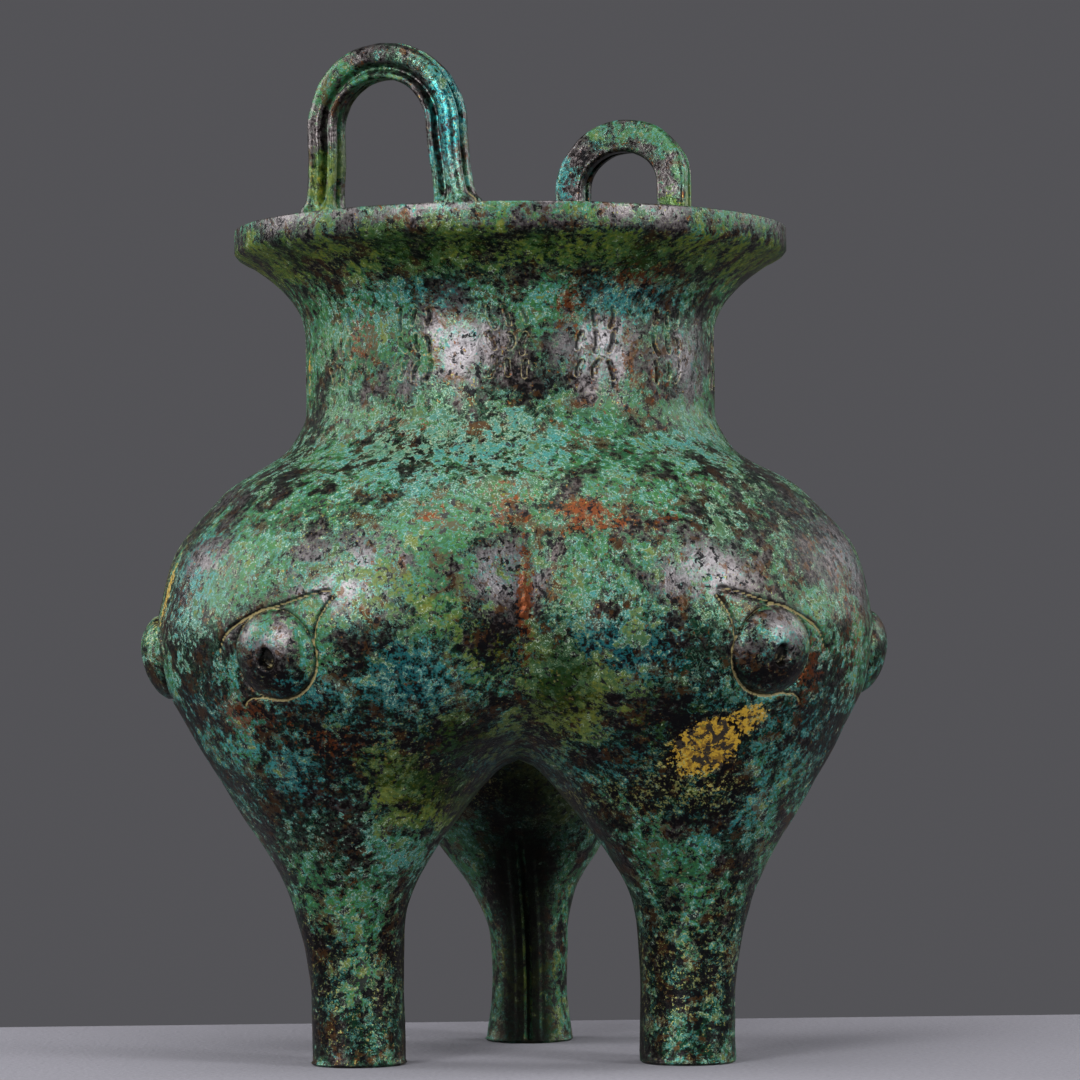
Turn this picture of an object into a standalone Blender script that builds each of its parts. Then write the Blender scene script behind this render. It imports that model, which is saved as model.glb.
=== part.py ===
"""Bronze tripod vessel of the li type, empty and cast in one piece.

Three hollow lobes run up into one round neck with a flared rim, and down into solid legs. Each lobe has
two domed eyes, cut round with a line, and two loop handles stand up from the rim.
"""

import math
from collections import namedtuple

import bmesh
import bpy
import numpy as np

# Rim, neck and wall, in metres
RIM_HEIGHT = 0.1770
RIM_RADIUS = 0.0594
RIM_WIDTH = 0.0052
LIP_HEIGHT = 0.0050
LIP_EDGE = 0.0004
FLARE_HEIGHT = 0.0175
FLARE_POWER = 2.1
INNER_FLARE_POWER = 1.5
WALL = 0.0036

# Sections of one lobe from the floor up: height, distance of the section's middle from the axis of
# the vessel, and half the size of the section toward that axis and across it
Section = namedtuple("Section", "height spread depth width")
FOOT = Section(0.0000, 0.0398, 0.0103, 0.0101)
ANKLE = Section(0.0140, 0.0400, 0.0102, 0.0088)
SHIN = Section(0.0235, 0.0406, 0.0111, 0.0091)
CALF = Section(0.0330, 0.0412, 0.0126, 0.0118)
KNEE = Section(0.0440, 0.0411, 0.0174, 0.0186)
THIGH = Section(0.0540, 0.0403, 0.0248, 0.0248)
CROTCH = Section(0.0610, 0.0394, 0.0300, 0.0300)
UNDER_BELLY = Section(0.0700, 0.0352, 0.0388, 0.0388)
LOWER_BELLY = Section(0.0800, 0.0300, 0.0483, 0.0483)
BELLY = Section(0.0940, 0.0247, 0.0548, 0.0548)
UPPER_BELLY = Section(0.1070, 0.0194, 0.0558, 0.0558)
SHOULDER = Section(0.1200, 0.0105, 0.0530, 0.0530)
NECK_FOOT = Section(0.1310, 0.0026, 0.0450, 0.0450)
NECK = Section(0.1380, 0.0000, 0.0443, 0.0443)

# How softly the lobes run together, as a share of their spread, and how far the legs stand turned
# and set to the right from the lobes above them, as the mould left them
CREASE_SOFTNESS = 0.06
LEG_TURN = math.radians(-3.5)
LEG_SHIFT = 0.0018

# Legs: flat feet with a small round edge, a groove up the inner face, and the floor of the hollow
FOOT_EDGE = 0.0010
GROOVE_WIDTH = 0.0021
GROOVE_DEPTH = 0.0013
GROOVE_TOP = 0.0480
POUCH_FLOOR = 0.0430
POUCH_ROUNDING = 0.0070

# Loop handles: bearing from the front, height over the rim, widths over the posts at their feet and
# where the arch springs, and height of that springing; the two were not cast quite alike. Their roots
# reach down into the lip, and the posts bend at shares of the springing's height.
Handle = namedtuple("Handle", "bearing height foot_width spring_width spring_height")
HANDLES = {
    "handle_front": Handle(math.radians(-29.6), 0.0338, 0.0388, 0.0358, 0.0163),
    "handle_back": Handle(math.radians(149.8), 0.0308, 0.0352, 0.0332, 0.0150),
}
HANDLE_BAND = 0.0072
HANDLE_CROWN_BAND = 0.0080
HANDLE_THICKNESS = 0.0066
HANDLE_LEAN = math.radians(4.5)
HANDLE_GROOVE = 0.0008
HANDLE_FILLET = 0.0007
HANDLE_ROOT = 0.0040
POST_LEVELS = (0.4, 0.7)

# Eyes: two on each lobe, as far apart as this angle seen from the vessel's axis. Each is rooted in a
# share of the wall, and its pupil narrows to a share of its size at the bottom.
EYE_HEIGHT = 0.0854
EYE_SPACING = math.radians(38)
EYE_RADIUS = 0.0095
EYE_RISE = 0.0033
PUPIL_WIDTH = 0.0032
PUPIL_HEIGHT = 0.0045
PUPIL_DEPTH = 0.0022
PUPIL_TAPER = 0.8
EYE_ROOT = 0.85
EYE_LINE_WIDTH = 0.0012
EYE_LINE_DEPTH = 0.0008
EYE_LINE_TIP = 0.3

# Sides of each round form
LOBES = 3
SIDES_PER_LOBE = 12
SIDES_PER_SEAM = 4
EYE_SIDES = 12
ARCH_SIDES = 12

# Lowest level ring of the joined body, outside and inside, as a share of the way from the crotch up to
# the lower belly, and how far along the rings change from there to a single leg's level ones
OUTER_WAIST = 0.18
INNER_WAIST = 0.45
LEG_BLEND = (0.35, 0.7)

# Finest length told apart from nothing, step for the skin's slope, halvings of a ray's length, and
# the turn from the plane between two lobes below which a ray is taken to run along it
TINY = 1e-6
SLOPE_STEP = 0.0002
HALVINGS = 36
ALONG_PLANE = 0.05

LOBE_ANGLES = [math.radians(-60 + 120 * lobe) for lobe in range(LOBES)]
HALF_LOBE = math.pi / LOBES
LIP_FOOT = RIM_HEIGHT - LIP_HEIGHT
FLARE_TOP = LIP_FOOT - 2 * LIP_EDGE
NECK_TOP = FLARE_TOP - FLARE_HEIGHT


def smooth_curve(heights, values):
    """Curve through the values that never swings beyond them between two heights."""
    heights = np.array(heights)
    values = np.array(values)
    steps = np.diff(heights)
    slopes = np.diff(values) / steps
    tangents = np.zeros(len(values))
    tangents[0] = slopes[0]
    for i in range(1, len(slopes)):
        if slopes[i - 1] * slopes[i] > 0:
            before = 2 * steps[i] + steps[i - 1]
            after = steps[i] + 2 * steps[i - 1]
            tangents[i] = (before + after) / (before / slopes[i - 1] + after / slopes[i])

    def value_at(z):
        z = np.clip(z, heights[0], heights[-1])
        i = np.clip(np.searchsorted(heights, z, side="right") - 1, 0, len(steps) - 1)
        t = (z - heights[i]) / steps[i]
        low = (1 + 2 * t) * (1 - t) ** 2 * values[i] + t * (1 - t) ** 2 * steps[i] * tangents[i]
        high = t * t * (3 - 2 * t) * values[i + 1] - t * t * (1 - t) * steps[i] * tangents[i + 1]
        return low + high

    return value_at


SECTIONS = [FOOT, ANKLE, SHIN, CALF, KNEE, THIGH, CROTCH]
SECTIONS += [UNDER_BELLY, LOWER_BELLY, BELLY, UPPER_BELLY, SHOULDER, NECK_FOOT, NECK]
HEIGHTS = [section.height for section in SECTIONS]
spread_at = smooth_curve(HEIGHTS, [section.spread for section in SECTIONS])
depth_at = smooth_curve(HEIGHTS, [section.depth for section in SECTIONS])
width_at = smooth_curve(HEIGHTS, [section.width for section in SECTIONS])


def toward(angle):
    """Level direction at an angle from the front, turning to the right."""
    return np.stack([np.sin(angle), -np.cos(angle), np.zeros_like(angle)], axis=-1)


def skin(points):
    """Level distance of points outside the lobes, which run together softly; below zero within them."""
    x, y, z = points[..., 0], points[..., 1], points[..., 2]
    spread, depth, width = spread_at(z), depth_at(z), width_at(z)
    nearness = []
    for angle in LOBE_ANGLES:
        out = x * math.sin(angle) - y * math.cos(angle) - spread
        across = x * math.cos(angle) + y * math.sin(angle)
        nearness.append((np.hypot(out / depth, across / width) - 1) * np.minimum(depth, width))
    nearness = np.stack(nearness)
    softness = CREASE_SOFTNESS * spread + TINY
    nearest = nearness.min(axis=0)
    return nearest - softness * np.log(np.exp((nearest - nearness) / softness).sum(axis=0))


def skin_slope(points):
    """Direction in which the skin's distance grows, with its rate as length."""
    slopes = []
    for axis in range(3):
        shift = np.zeros(3)
        shift[axis] = SLOPE_STEP
        slopes.append((skin(points + shift) - skin(points - shift)) / (2 * SLOPE_STEP))
    return np.stack(slopes, axis=-1)


def cover(points):
    """Metal between points and the skin, measured square to the skin."""
    rate = np.linalg.norm(skin_slope(points), axis=-1)
    return -skin(points) / np.maximum(rate, TINY)


def cast_rays(starts, directions, reach, inset):
    """Where rays from inside a lobe meet the face that lies the inset below the skin."""
    near = np.zeros(starts.shape[:-1])
    far = np.broadcast_to(reach, near.shape).astype(float)
    for _ in range(HALVINGS):
        middle = (near + far) / 2
        within = cover(starts + directions * middle[..., None]) > inset
        near = np.where(within, middle, near)
        far = np.where(within, far, middle)
    return starts + directions * near[..., None]


def body_ring(height, inset):
    """Ring of points round the joined lobes, from one crease on round."""
    count = LOBES * SIDES_PER_LOBE
    angles = 2 * math.pi * np.arange(count) / count + LOBE_ANGLES[0] - HALF_LOBE
    from_lobe = (angles - LOBE_ANGLES[0] + HALF_LOBE) % (2 * HALF_LOBE) - HALF_LOBE
    directions = toward(angles)
    starts = directions * (spread_at(height) * np.cos(from_lobe))[:, None]
    starts[:, 2] = height
    return cast_rays(starts, directions, 2 * (BELLY.spread + BELLY.depth), inset)


def round_ring(height, radius):
    """Level ring of points about the vessel's axis, on the same bearings as the lobes' rings."""
    count = LOBES * SIDES_PER_LOBE
    angles = 2 * math.pi * np.arange(count) / count + LOBE_ANGLES[0] - HALF_LOBE
    ring = toward(angles) * radius
    ring[:, 2] = height
    return ring


def seam_points(ring, crease, inset):
    """Points under the body from the foot of one crease to the axis, ends included."""
    foot = ring[crease * SIDES_PER_LOBE]
    shares = 1 - np.arange(1, SIDES_PER_SEAM + 1) / SIDES_PER_SEAM
    starts = foot * shares[:, None]
    starts[:, 2] = LOWER_BELLY.height
    down = np.array([0.0, 0.0, -1.0])
    below = cast_rays(starts, down, LOWER_BELLY.height - KNEE.height, inset)
    return np.vstack([foot, below])


def leg_ring(heights, bearings, lobe, inset):
    """Ring round one leg at its own heights, with the bearings counted from straight outward."""
    angle = LOBE_ANGLES[lobe]
    middles = toward(np.full_like(heights, angle)) * spread_at(heights)[:, None]
    middles[:, 2] = heights
    across = np.sin(np.abs(bearings) - HALF_LOBE)
    to_plane = spread_at(heights) * math.sin(HALF_LOBE) / np.maximum(across, ALONG_PLANE)
    reach = depth_at(heights) + width_at(heights)
    reach = np.where(across > ALONG_PLANE, np.minimum(to_plane, reach), reach)
    return cast_rays(middles, toward(angle + bearings), reach, inset)


def bearings_of(ring, lobe):
    """Bearings of a ring's points round its leg, and their heights."""
    angle = LOBE_ANGLES[lobe]
    middles = toward(np.full(len(ring), angle)) * spread_at(ring[:, 2])[:, None]
    offset = ring - middles
    out = offset @ toward(np.array(angle))
    across = offset @ toward(np.array(angle + math.pi / 2))
    return np.arctan2(across, out)


def even_bearings(height, outer_half):
    """Bearings of a level leg ring: the outer arc, then the inner arc with the groove's edges close by."""
    groove_half = math.atan2(GROOVE_WIDTH / 2, width_at(height))
    arc = np.linspace(-outer_half, outer_half, SIDES_PER_LOBE + 1)
    inner = np.linspace(outer_half, math.pi - groove_half, SIDES_PER_SEAM)[1:]
    return np.concatenate([arc, inner, [math.pi], -inner[::-1]])


def cut_groove(ring, lobe, depth):
    """Sinks the middle point of a leg ring's inner arc, between the groove's two edges."""
    bottom = SIDES_PER_LOBE + SIDES_PER_SEAM
    ring[bottom] += toward(np.array(LOBE_ANGLES[lobe])) * depth
    return ring


def leg_rings(top_ring, lobe, heights, inset, groove_depth):
    """Rings down one leg from the open end that the body leaves for it."""
    top_bearings = bearings_of(top_ring, lobe)
    inner_middle = SIDES_PER_LOBE + SIDES_PER_SEAM
    top_bearings[inner_middle] = math.pi
    outer_half = top_bearings[SIDES_PER_LOBE]
    rings = []
    level = even_bearings(heights[0], outer_half)
    for share in LEG_BLEND:
        ring_heights = top_ring[:, 2] * (1 - share) + heights[0] * share
        ring_bearings = top_bearings * (1 - share) + level * share
        rings.append(leg_ring(ring_heights, ring_bearings, lobe, inset))
    for height in heights:
        ring_bearings = even_bearings(height, outer_half)
        ring = leg_ring(np.full(len(ring_bearings), height), ring_bearings, lobe, inset)
        fade = min(max((GROOVE_TOP - height) / (GROOVE_TOP - CALF.height), 0.0), 1.0)
        rings.append(cut_groove(ring, lobe, groove_depth * fade))
    return rings


def turn_legs(point):
    """The point turned and shifted by as much as the legs are at its height."""
    fade = min(max((LOWER_BELLY.height - point[2]) / (LOWER_BELLY.height - ANKLE.height), 0.0), 1.0)
    fade *= fade * (3 - 2 * fade)
    turn = LEG_TURN * fade
    x, y, z = point
    shifted = x * math.cos(turn) - y * math.sin(turn) + LEG_SHIFT * fade
    return shifted, x * math.sin(turn) + y * math.cos(turn), z


def add_ring(mesh, ring):
    return [mesh.verts.new(turn_legs(point)) for point in ring]


def join_rings(mesh, lower, upper, outward):
    """Band of quads between two rings that run anticlockwise seen from above."""
    count = len(lower)
    for i in range(count):
        k = (i + 1) % count
        corners = [lower[i], lower[k], upper[k], upper[i]]
        mesh.faces.new(corners if outward else corners[::-1])


def close_ring(mesh, ring, middle, outward):
    """Fan from a ring to a point in its middle, facing down on the outside."""
    point = mesh.verts.new(turn_legs(middle))
    for i in range(len(ring)):
        corners = [ring[(i + 1) % len(ring)], ring[i], point]
        mesh.faces.new(corners if outward else corners[::-1])


def build_shell(mesh, body_rings, leg_heights, inset, outward):
    """One whole face of the casting, outside or inside, and its open ring at the rim."""
    groove_depth = GROOVE_DEPTH if outward else 0.0
    rings = [add_ring(mesh, ring) for ring in body_rings]
    for lower, upper in zip(rings, rings[1:]):
        join_rings(mesh, lower, upper, outward)
    seams = [seam_points(body_rings[0], crease, inset) for crease in range(LOBES)]
    centre = mesh.verts.new(turn_legs(seams[0][-1]))
    seam_verts = []
    for crease in range(LOBES):
        inner = [mesh.verts.new(turn_legs(point)) for point in seams[crease][1:-1]]
        seam_verts.append([rings[0][crease * SIDES_PER_LOBE]] + inner + [centre])
    for lobe in range(LOBES):
        first = lobe * SIDES_PER_LOBE
        following = (lobe + 1) % LOBES
        arc = [(first + i) % len(rings[0]) for i in range(SIDES_PER_LOBE + 1)]
        top = [rings[0][i] for i in arc] + seam_verts[following][1:] + seam_verts[lobe][-2:0:-1]
        top_points = np.vstack([
            body_rings[0][arc],
            seams[following][1:],
            seams[lobe][-2:0:-1],
        ])
        upper = top
        for points in leg_rings(top_points, lobe, leg_heights, inset, groove_depth):
            lower = add_ring(mesh, points)
            join_rings(mesh, lower, upper, outward)
            upper = lower
        finish_leg(mesh, upper, points, lobe, inset, outward)
    return rings[-1]


def finish_leg(mesh, ring, points, lobe, inset, outward):
    """Flat foot with a small round edge on the outside, rounded floor of the hollow inside."""
    middle = toward(np.array(LOBE_ANGLES[lobe])) * spread_at(points[0][2])
    middle[2] = points[0][2]
    if outward:
        small = middle + (points - middle) * (1 - FOOT_EDGE / FOOT.width)
        small[:, 2] = FOOT.height
        bottom = add_ring(mesh, small)
        join_rings(mesh, bottom, ring, outward)
        middle[2] = FOOT.height
        close_ring(mesh, bottom, middle, outward)
        return
    upper = ring
    for angle in np.radians([30, 60]):
        shrunk = middle + (points - middle) * math.cos(angle)
        shrunk[:, 2] = middle[2] - POUCH_ROUNDING * math.sin(angle)
        lower = add_ring(mesh, shrunk)
        join_rings(mesh, lower, upper, outward)
        upper = lower
    middle[2] -= POUCH_ROUNDING
    close_ring(mesh, upper, middle, outward)


def between(low, high, shares):
    """Heights at shares of the way from one height to another."""
    return [low + (high - low) * share for share in shares]


def flare_radius(height, foot_radius, top_height, top_radius, power):
    share = max((height - NECK_TOP) / (top_height - NECK_TOP), 0.0)
    return foot_radius + (top_radius - foot_radius) * share ** power


def outer_rings():
    waist = CROTCH.height + OUTER_WAIST * (LOWER_BELLY.height - CROTCH.height)
    heights = between(waist, BELLY.height, [0, 0.12, 0.28, 0.46, 0.64, 0.82, 1])
    heights += between(BELLY.height, SHOULDER.height, [0.25, 0.5, 0.7, 0.86, 1])
    heights += between(SHOULDER.height, NECK.height, [0.2, 0.38, 0.54, 0.7, 0.85, 1])
    rings = [body_ring(height, 0.0) for height in heights]
    rings.append(round_ring(NECK_TOP, NECK.width))
    for height in between(NECK_TOP, FLARE_TOP, [0.25, 0.45, 0.62, 0.78, 0.9, 1]):
        radius = flare_radius(height, NECK.width, FLARE_TOP, RIM_RADIUS - 2 * LIP_EDGE, FLARE_POWER)
        rings.append(round_ring(height, radius))
    rings.append(round_ring(LIP_FOOT, RIM_RADIUS))
    rings.append(round_ring(RIM_HEIGHT - LIP_EDGE, RIM_RADIUS))
    rings.append(round_ring(RIM_HEIGHT, RIM_RADIUS - LIP_EDGE))
    return rings


def inner_rings():
    waist = CROTCH.height + INNER_WAIST * (LOWER_BELLY.height - CROTCH.height)
    heights = between(waist, BELLY.height, [0, 0.2, 0.5, 1])
    heights += between(BELLY.height, SHOULDER.height, [0.4, 0.7, 0.9])
    heights += between(SHOULDER.height, NECK.height, [0, 0.2, 0.4, 0.65, 1])
    rings = [body_ring(height, WALL) for height in heights]
    inner_neck = NECK.width - WALL
    rings.append(round_ring(NECK_TOP, inner_neck))
    for height in between(NECK_TOP, RIM_HEIGHT, [0.3, 0.55, 0.78, 1]):
        radius = flare_radius(height, inner_neck, RIM_HEIGHT, RIM_RADIUS - RIM_WIDTH, INNER_FLARE_POWER)
        rings.append(round_ring(height, radius))
    return rings


def new_object(name, mesh):
    data = bpy.data.meshes.new(name)
    mesh.normal_update()
    mesh.to_mesh(data)
    mesh.free()
    model = bpy.data.objects.new(name, data)
    bpy.context.scene.collection.objects.link(model)
    return model


def make_casting():
    """The vessel's wall, lobes and legs as one closed shell."""
    mesh = bmesh.new()
    leg_top = (KNEE.height + THIGH.height) / 2
    outer_legs = between(leg_top, ANKLE.height, [0, 0.2, 0.4, 0.6, 0.8, 1])
    outer_legs += between(ANKLE.height, FOOT_EDGE, [0.4, 0.75, 1])
    inner_legs = [POUCH_FLOOR + POUCH_ROUNDING]
    outer_rim = build_shell(mesh, outer_rings(), outer_legs, 0.0, True)
    inner_rim = build_shell(mesh, inner_rings(), inner_legs, WALL, False)
    join_rings(mesh, outer_rim, inner_rim, True)
    return new_object("vessel", mesh)


def handle_path(handle):
    """Middle line of a loop across and up from the rim, the directions square to it, and its band."""
    foot_half = (handle.foot_width - HANDLE_BAND) / 2
    spring_half = (handle.spring_width - HANDLE_BAND) / 2
    rise = handle.height - HANDLE_CROWN_BAND / 2 - handle.spring_height
    levels = [-HANDLE_ROOT, 0.0, 2 * HANDLE_FILLET]
    levels += [level * handle.spring_height for level in POST_LEVELS]
    side = []
    for height in levels:
        share = height / handle.spring_height
        side.append((foot_half + (spring_half - foot_half) * share * (2 - share), height))
    arch = []
    turns = np.linspace(0, math.pi, ARCH_SIDES + 1)
    for turn in turns:
        arch.append((spring_half * math.cos(turn), handle.spring_height + rise * math.sin(turn)))
    line = np.array(side + arch + [(-across, height) for across, height in side[::-1]])
    tangents = np.gradient(line, axis=0)
    tangents /= np.linalg.norm(tangents, axis=1)[:, None]
    tangents[0] = (0, 1)
    tangents[-1] = (0, -1)
    outward = np.stack([tangents[:, 1], -tangents[:, 0]], axis=1)
    bands = np.full(len(line), HANDLE_BAND)
    bands[len(side):-len(side)] += (HANDLE_CROWN_BAND - HANDLE_BAND) * np.sin(turns) ** 2
    bands[[0, 1, -2, -1]] += 2 * HANDLE_FILLET
    return line, outward, bands


def handle_section():
    """Moulded outline of the band: shares of its width toward the outer edge, and toward the front.

    The front has a broad roll outside and a bead inside with a groove between; the outer edge and the
    reveal of the loop each have a groove along the middle.
    """
    face = HANDLE_THICKNESS / 2
    groove = HANDLE_GROOVE
    front = [(-0.50, 0.72 * face), (-0.40, face), (-0.30, 0.97 * face), (-0.20, face - groove)]
    front += [(-0.08, face), (0.26, face), (0.42, 0.80 * face), (0.50, 0.38 * face)]
    outer_edge = [(0.50 - groove / HANDLE_BAND, 0.08 * face), (0.50, -0.22 * face)]
    back = [(0.45, -0.75 * face), (0.28, -face), (-0.30, -face), (-0.50, -0.70 * face)]
    reveal = [(-0.50, -0.15 * face), (-0.50 + groove / HANDLE_BAND, 0.12 * face), (-0.50, 0.38 * face)]
    return front + outer_edge + back + reveal


def make_handle(name, handle):
    """One loop, flush with the lip at its posts and leaning out a little toward its crown."""
    line, outward, bands = handle_path(handle)
    section = handle_section()
    post_across = (handle.foot_width - HANDLE_BAND) / 2
    seat = math.sqrt(RIM_RADIUS ** 2 - post_across ** 2) - HANDLE_THICKNESS / 2 - LIP_EDGE
    out = toward(np.array(handle.bearing))
    side = toward(np.array(handle.bearing + math.pi / 2))
    up = np.array([0.0, 0.0, 1.0])
    mesh = bmesh.new()
    rings = []
    for (across, height), (normal_across, normal_up), band in zip(line, outward, bands):
        ring = []
        for to_edge, to_front in section:
            place_across = across + normal_across * to_edge * band
            place_up = height + normal_up * to_edge * band
            place_out = seat + to_front + math.tan(HANDLE_LEAN) * max(place_up, 0.0)
            place = out * place_out + side * place_across + up * (RIM_HEIGHT + place_up)
            ring.append(mesh.verts.new(place))
        rings.append(ring)
    for lower, upper in zip(rings, rings[1:]):
        join_rings(mesh, lower, upper, True)
    mesh.faces.new(rings[0][::-1])
    mesh.faces.new(rings[-1])
    bmesh.ops.recalc_face_normals(mesh, faces=mesh.faces)
    return new_object(name, mesh)


def eye_frame(lobe, hand):
    """Place of an eye on the skin, and its directions outward, toward the nearer crease, and up."""
    angle = LOBE_ANGLES[lobe] + hand * EYE_SPACING / 2
    start = toward(np.array(angle)) * spread_at(EYE_HEIGHT) * math.cos(EYE_SPACING / 2)
    start[2] = EYE_HEIGHT
    place = cast_rays(start[None], toward(np.array(angle))[None], 2 * BELLY.width, 0.0)[0]
    normal = skin_slope(place[None])[0]
    normal /= np.linalg.norm(normal)
    side = toward(np.array(angle + math.pi / 2)) * hand
    side -= normal * side.dot(normal)
    side /= np.linalg.norm(side)
    up = np.cross(normal, side) * hand
    if up[2] < 0:
        up = -up
    return place, normal, side, up


def on_skin(frame, across, upward):
    """Point of the skin over a place in the eye's own plane."""
    place, normal, side, up = frame
    point = place + side * across + up * upward
    for _ in range(4):
        slope = skin_slope(point[None])[0]
        point = point - slope * skin(point[None])[0] / slope.dot(slope)
    return point


def make_eyeball(name, frame):
    """Dome with an upright slot for its pupil; its flat back lies inside the wall."""
    place, normal, side, up = frame
    fall = EYE_RADIUS ** 2 / (2 * BELLY.width)
    height = EYE_RISE + fall
    ball_radius = (EYE_RADIUS ** 2 + height ** 2) / (2 * height)
    back = -EYE_ROOT * WALL
    mesh = bmesh.new()
    turns = 2 * math.pi * np.arange(EYE_SIDES) / EYE_SIDES

    def ring(half_width, half_height, rise):
        verts = []
        for turn in turns:
            across = half_width * math.cos(turn)
            upward = half_height * math.sin(turn)
            if rise is None:
                sunk = ball_radius ** 2 - across ** 2 - upward ** 2
                lift = EYE_RISE - ball_radius + math.sqrt(sunk)
            else:
                lift = rise
            verts.append(mesh.verts.new(place + side * across + up * upward + normal * lift))
        return verts

    rings = [ring(EYE_RADIUS, EYE_RADIUS, back), ring(EYE_RADIUS, EYE_RADIUS, None)]
    for share in (0.3, 0.55, 0.8):
        rings.append(ring(
            EYE_RADIUS + (PUPIL_WIDTH / 2 - EYE_RADIUS) * share,
            EYE_RADIUS + (PUPIL_HEIGHT / 2 - EYE_RADIUS) * share,
            None,
        ))
    rings.append(ring(PUPIL_WIDTH / 2, PUPIL_HEIGHT / 2, None))
    bottom_width = PUPIL_TAPER * PUPIL_WIDTH
    bottom_height = PUPIL_TAPER * PUPIL_HEIGHT
    rings.append(ring(bottom_width / 2, bottom_height / 2, EYE_RISE - PUPIL_DEPTH))
    for lower, upper in zip(rings, rings[1:]):
        join_rings(mesh, lower, upper, True)
    mesh.faces.new(rings[0][::-1])
    mesh.faces.new(rings[-1])
    bmesh.ops.recalc_face_normals(mesh, faces=mesh.faces)
    return new_object(name, mesh)


def eye_line_path():
    """Line round the eye, in eye radii: the upper lid in from the leg's side, the outer corner, then
    down by the ball, under it and out to the hook of the inner corner."""
    lid = [(-1.50, 0.05), (-1.36, 0.38), (-1.12, 0.62), (-0.76, 0.80), (-0.32, 0.98)]
    lid += [(0.10, 1.06), (0.48, 1.14), (0.88, 1.23)]
    corner = [(1.36, 1.30)]
    fall = [(1.20, 0.92), (1.08, 0.56)]
    under = []
    for angle in np.radians([12, -12, -36, -60, -84, -105]):
        under.append((1.04 * math.cos(angle), 1.04 * math.sin(angle)))
    hook = [(-0.52, -0.92), (-0.80, -0.94), (-1.02, -1.10)]
    return np.array(lid + corner + fall + under + hook) * EYE_RADIUS


def make_eye_cutter(name, frame):
    """Three-sided bar that follows the line round the eye and cuts it as a V."""
    path = eye_line_path()
    tangents = np.gradient(path, axis=0)
    tangents /= np.linalg.norm(tangents, axis=1)[:, None]
    above = EYE_LINE_DEPTH
    half = EYE_LINE_WIDTH / 2 * (EYE_LINE_DEPTH + above) / EYE_LINE_DEPTH
    mesh = bmesh.new()
    rings = []
    for i, ((across, upward), (run_across, run_up)) in enumerate(zip(path, tangents)):
        slim = EYE_LINE_TIP if i in (0, len(path) - 1) else 1.0
        point = on_skin(frame, across, upward)
        slope = skin_slope(point[None])[0]
        normal = slope / np.linalg.norm(slope)
        run = frame[2] * run_across + frame[3] * run_up
        aside = np.cross(normal, run)
        aside /= np.linalg.norm(aside)
        ring = [
            mesh.verts.new(point + normal * above + aside * half * slim),
            mesh.verts.new(point + normal * above - aside * half * slim),
            mesh.verts.new(point - normal * EYE_LINE_DEPTH * slim),
        ]
        rings.append(ring)
    for lower, upper in zip(rings, rings[1:]):
        join_rings(mesh, lower, upper, True)
    mesh.faces.new(rings[0][::-1])
    mesh.faces.new(rings[-1])
    bmesh.ops.triangulate(mesh, faces=mesh.faces)
    bmesh.ops.recalc_face_normals(mesh, faces=mesh.faces)
    return new_object(name, mesh)


def hide_tool(tool):
    tool.hide_render = True
    tool.display_type = "WIRE"


def add_boolean(model, name, operation, tool):
    modifier = model.modifiers.new(name, "BOOLEAN")
    modifier.solver = "EXACT"
    modifier.operation = operation
    modifier.object = tool
    hide_tool(tool)


def bronze():
    """Dark green-brown patinated bronze."""
    material = bpy.data.materials.new("patinated_bronze")
    material.use_nodes = True
    shader = material.node_tree.nodes["Principled BSDF"]
    shader.inputs["Base Color"].default_value = (0.10, 0.17, 0.15, 1)
    shader.inputs["Roughness"].default_value = 0.45
    shader.inputs["Metallic"].default_value = 0.6
    return material


for item in list(bpy.data.objects):
    bpy.data.objects.remove(item)

vessel = make_casting()
vessel.data.materials.append(bronze())
for name, handle in HANDLES.items():
    add_boolean(vessel, name, "UNION", make_handle(name, handle))
eyes = {}
for lobe in range(LOBES):
    for hand in (-1, 1):
        eyes[f"{lobe}_{'left' if hand < 0 else 'right'}"] = eye_frame(lobe, hand)
# The lines are cut before the balls come on, so a line that runs under a ball's edge cuts nothing off it
for label, frame in eyes.items():
    add_boolean(vessel, f"line {label}", "DIFFERENCE", make_eye_cutter(f"eye_line_{label}", frame))
for label, frame in eyes.items():
    add_boolean(vessel, f"eye {label}", "UNION", make_eyeball(f"eye_{label}", frame))

# The origin is on the floor, under the middle of the vessel's box
bpy.context.view_layer.update()
finished = vessel.evaluated_get(bpy.context.evaluated_depsgraph_get())
corners = np.array([vessel.matrix_world @ vertex.co for vertex in finished.data.vertices])
middle = (corners.min(axis=0) + corners.max(axis=0)) / 2
for item in bpy.data.objects:
    item.location.x -= middle[0]
    item.location.y -= middle[1]
vessel.data.shade_smooth()
vessel.data.set_sharp_from_angle(angle=math.radians(35))
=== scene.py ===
import math

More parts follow.
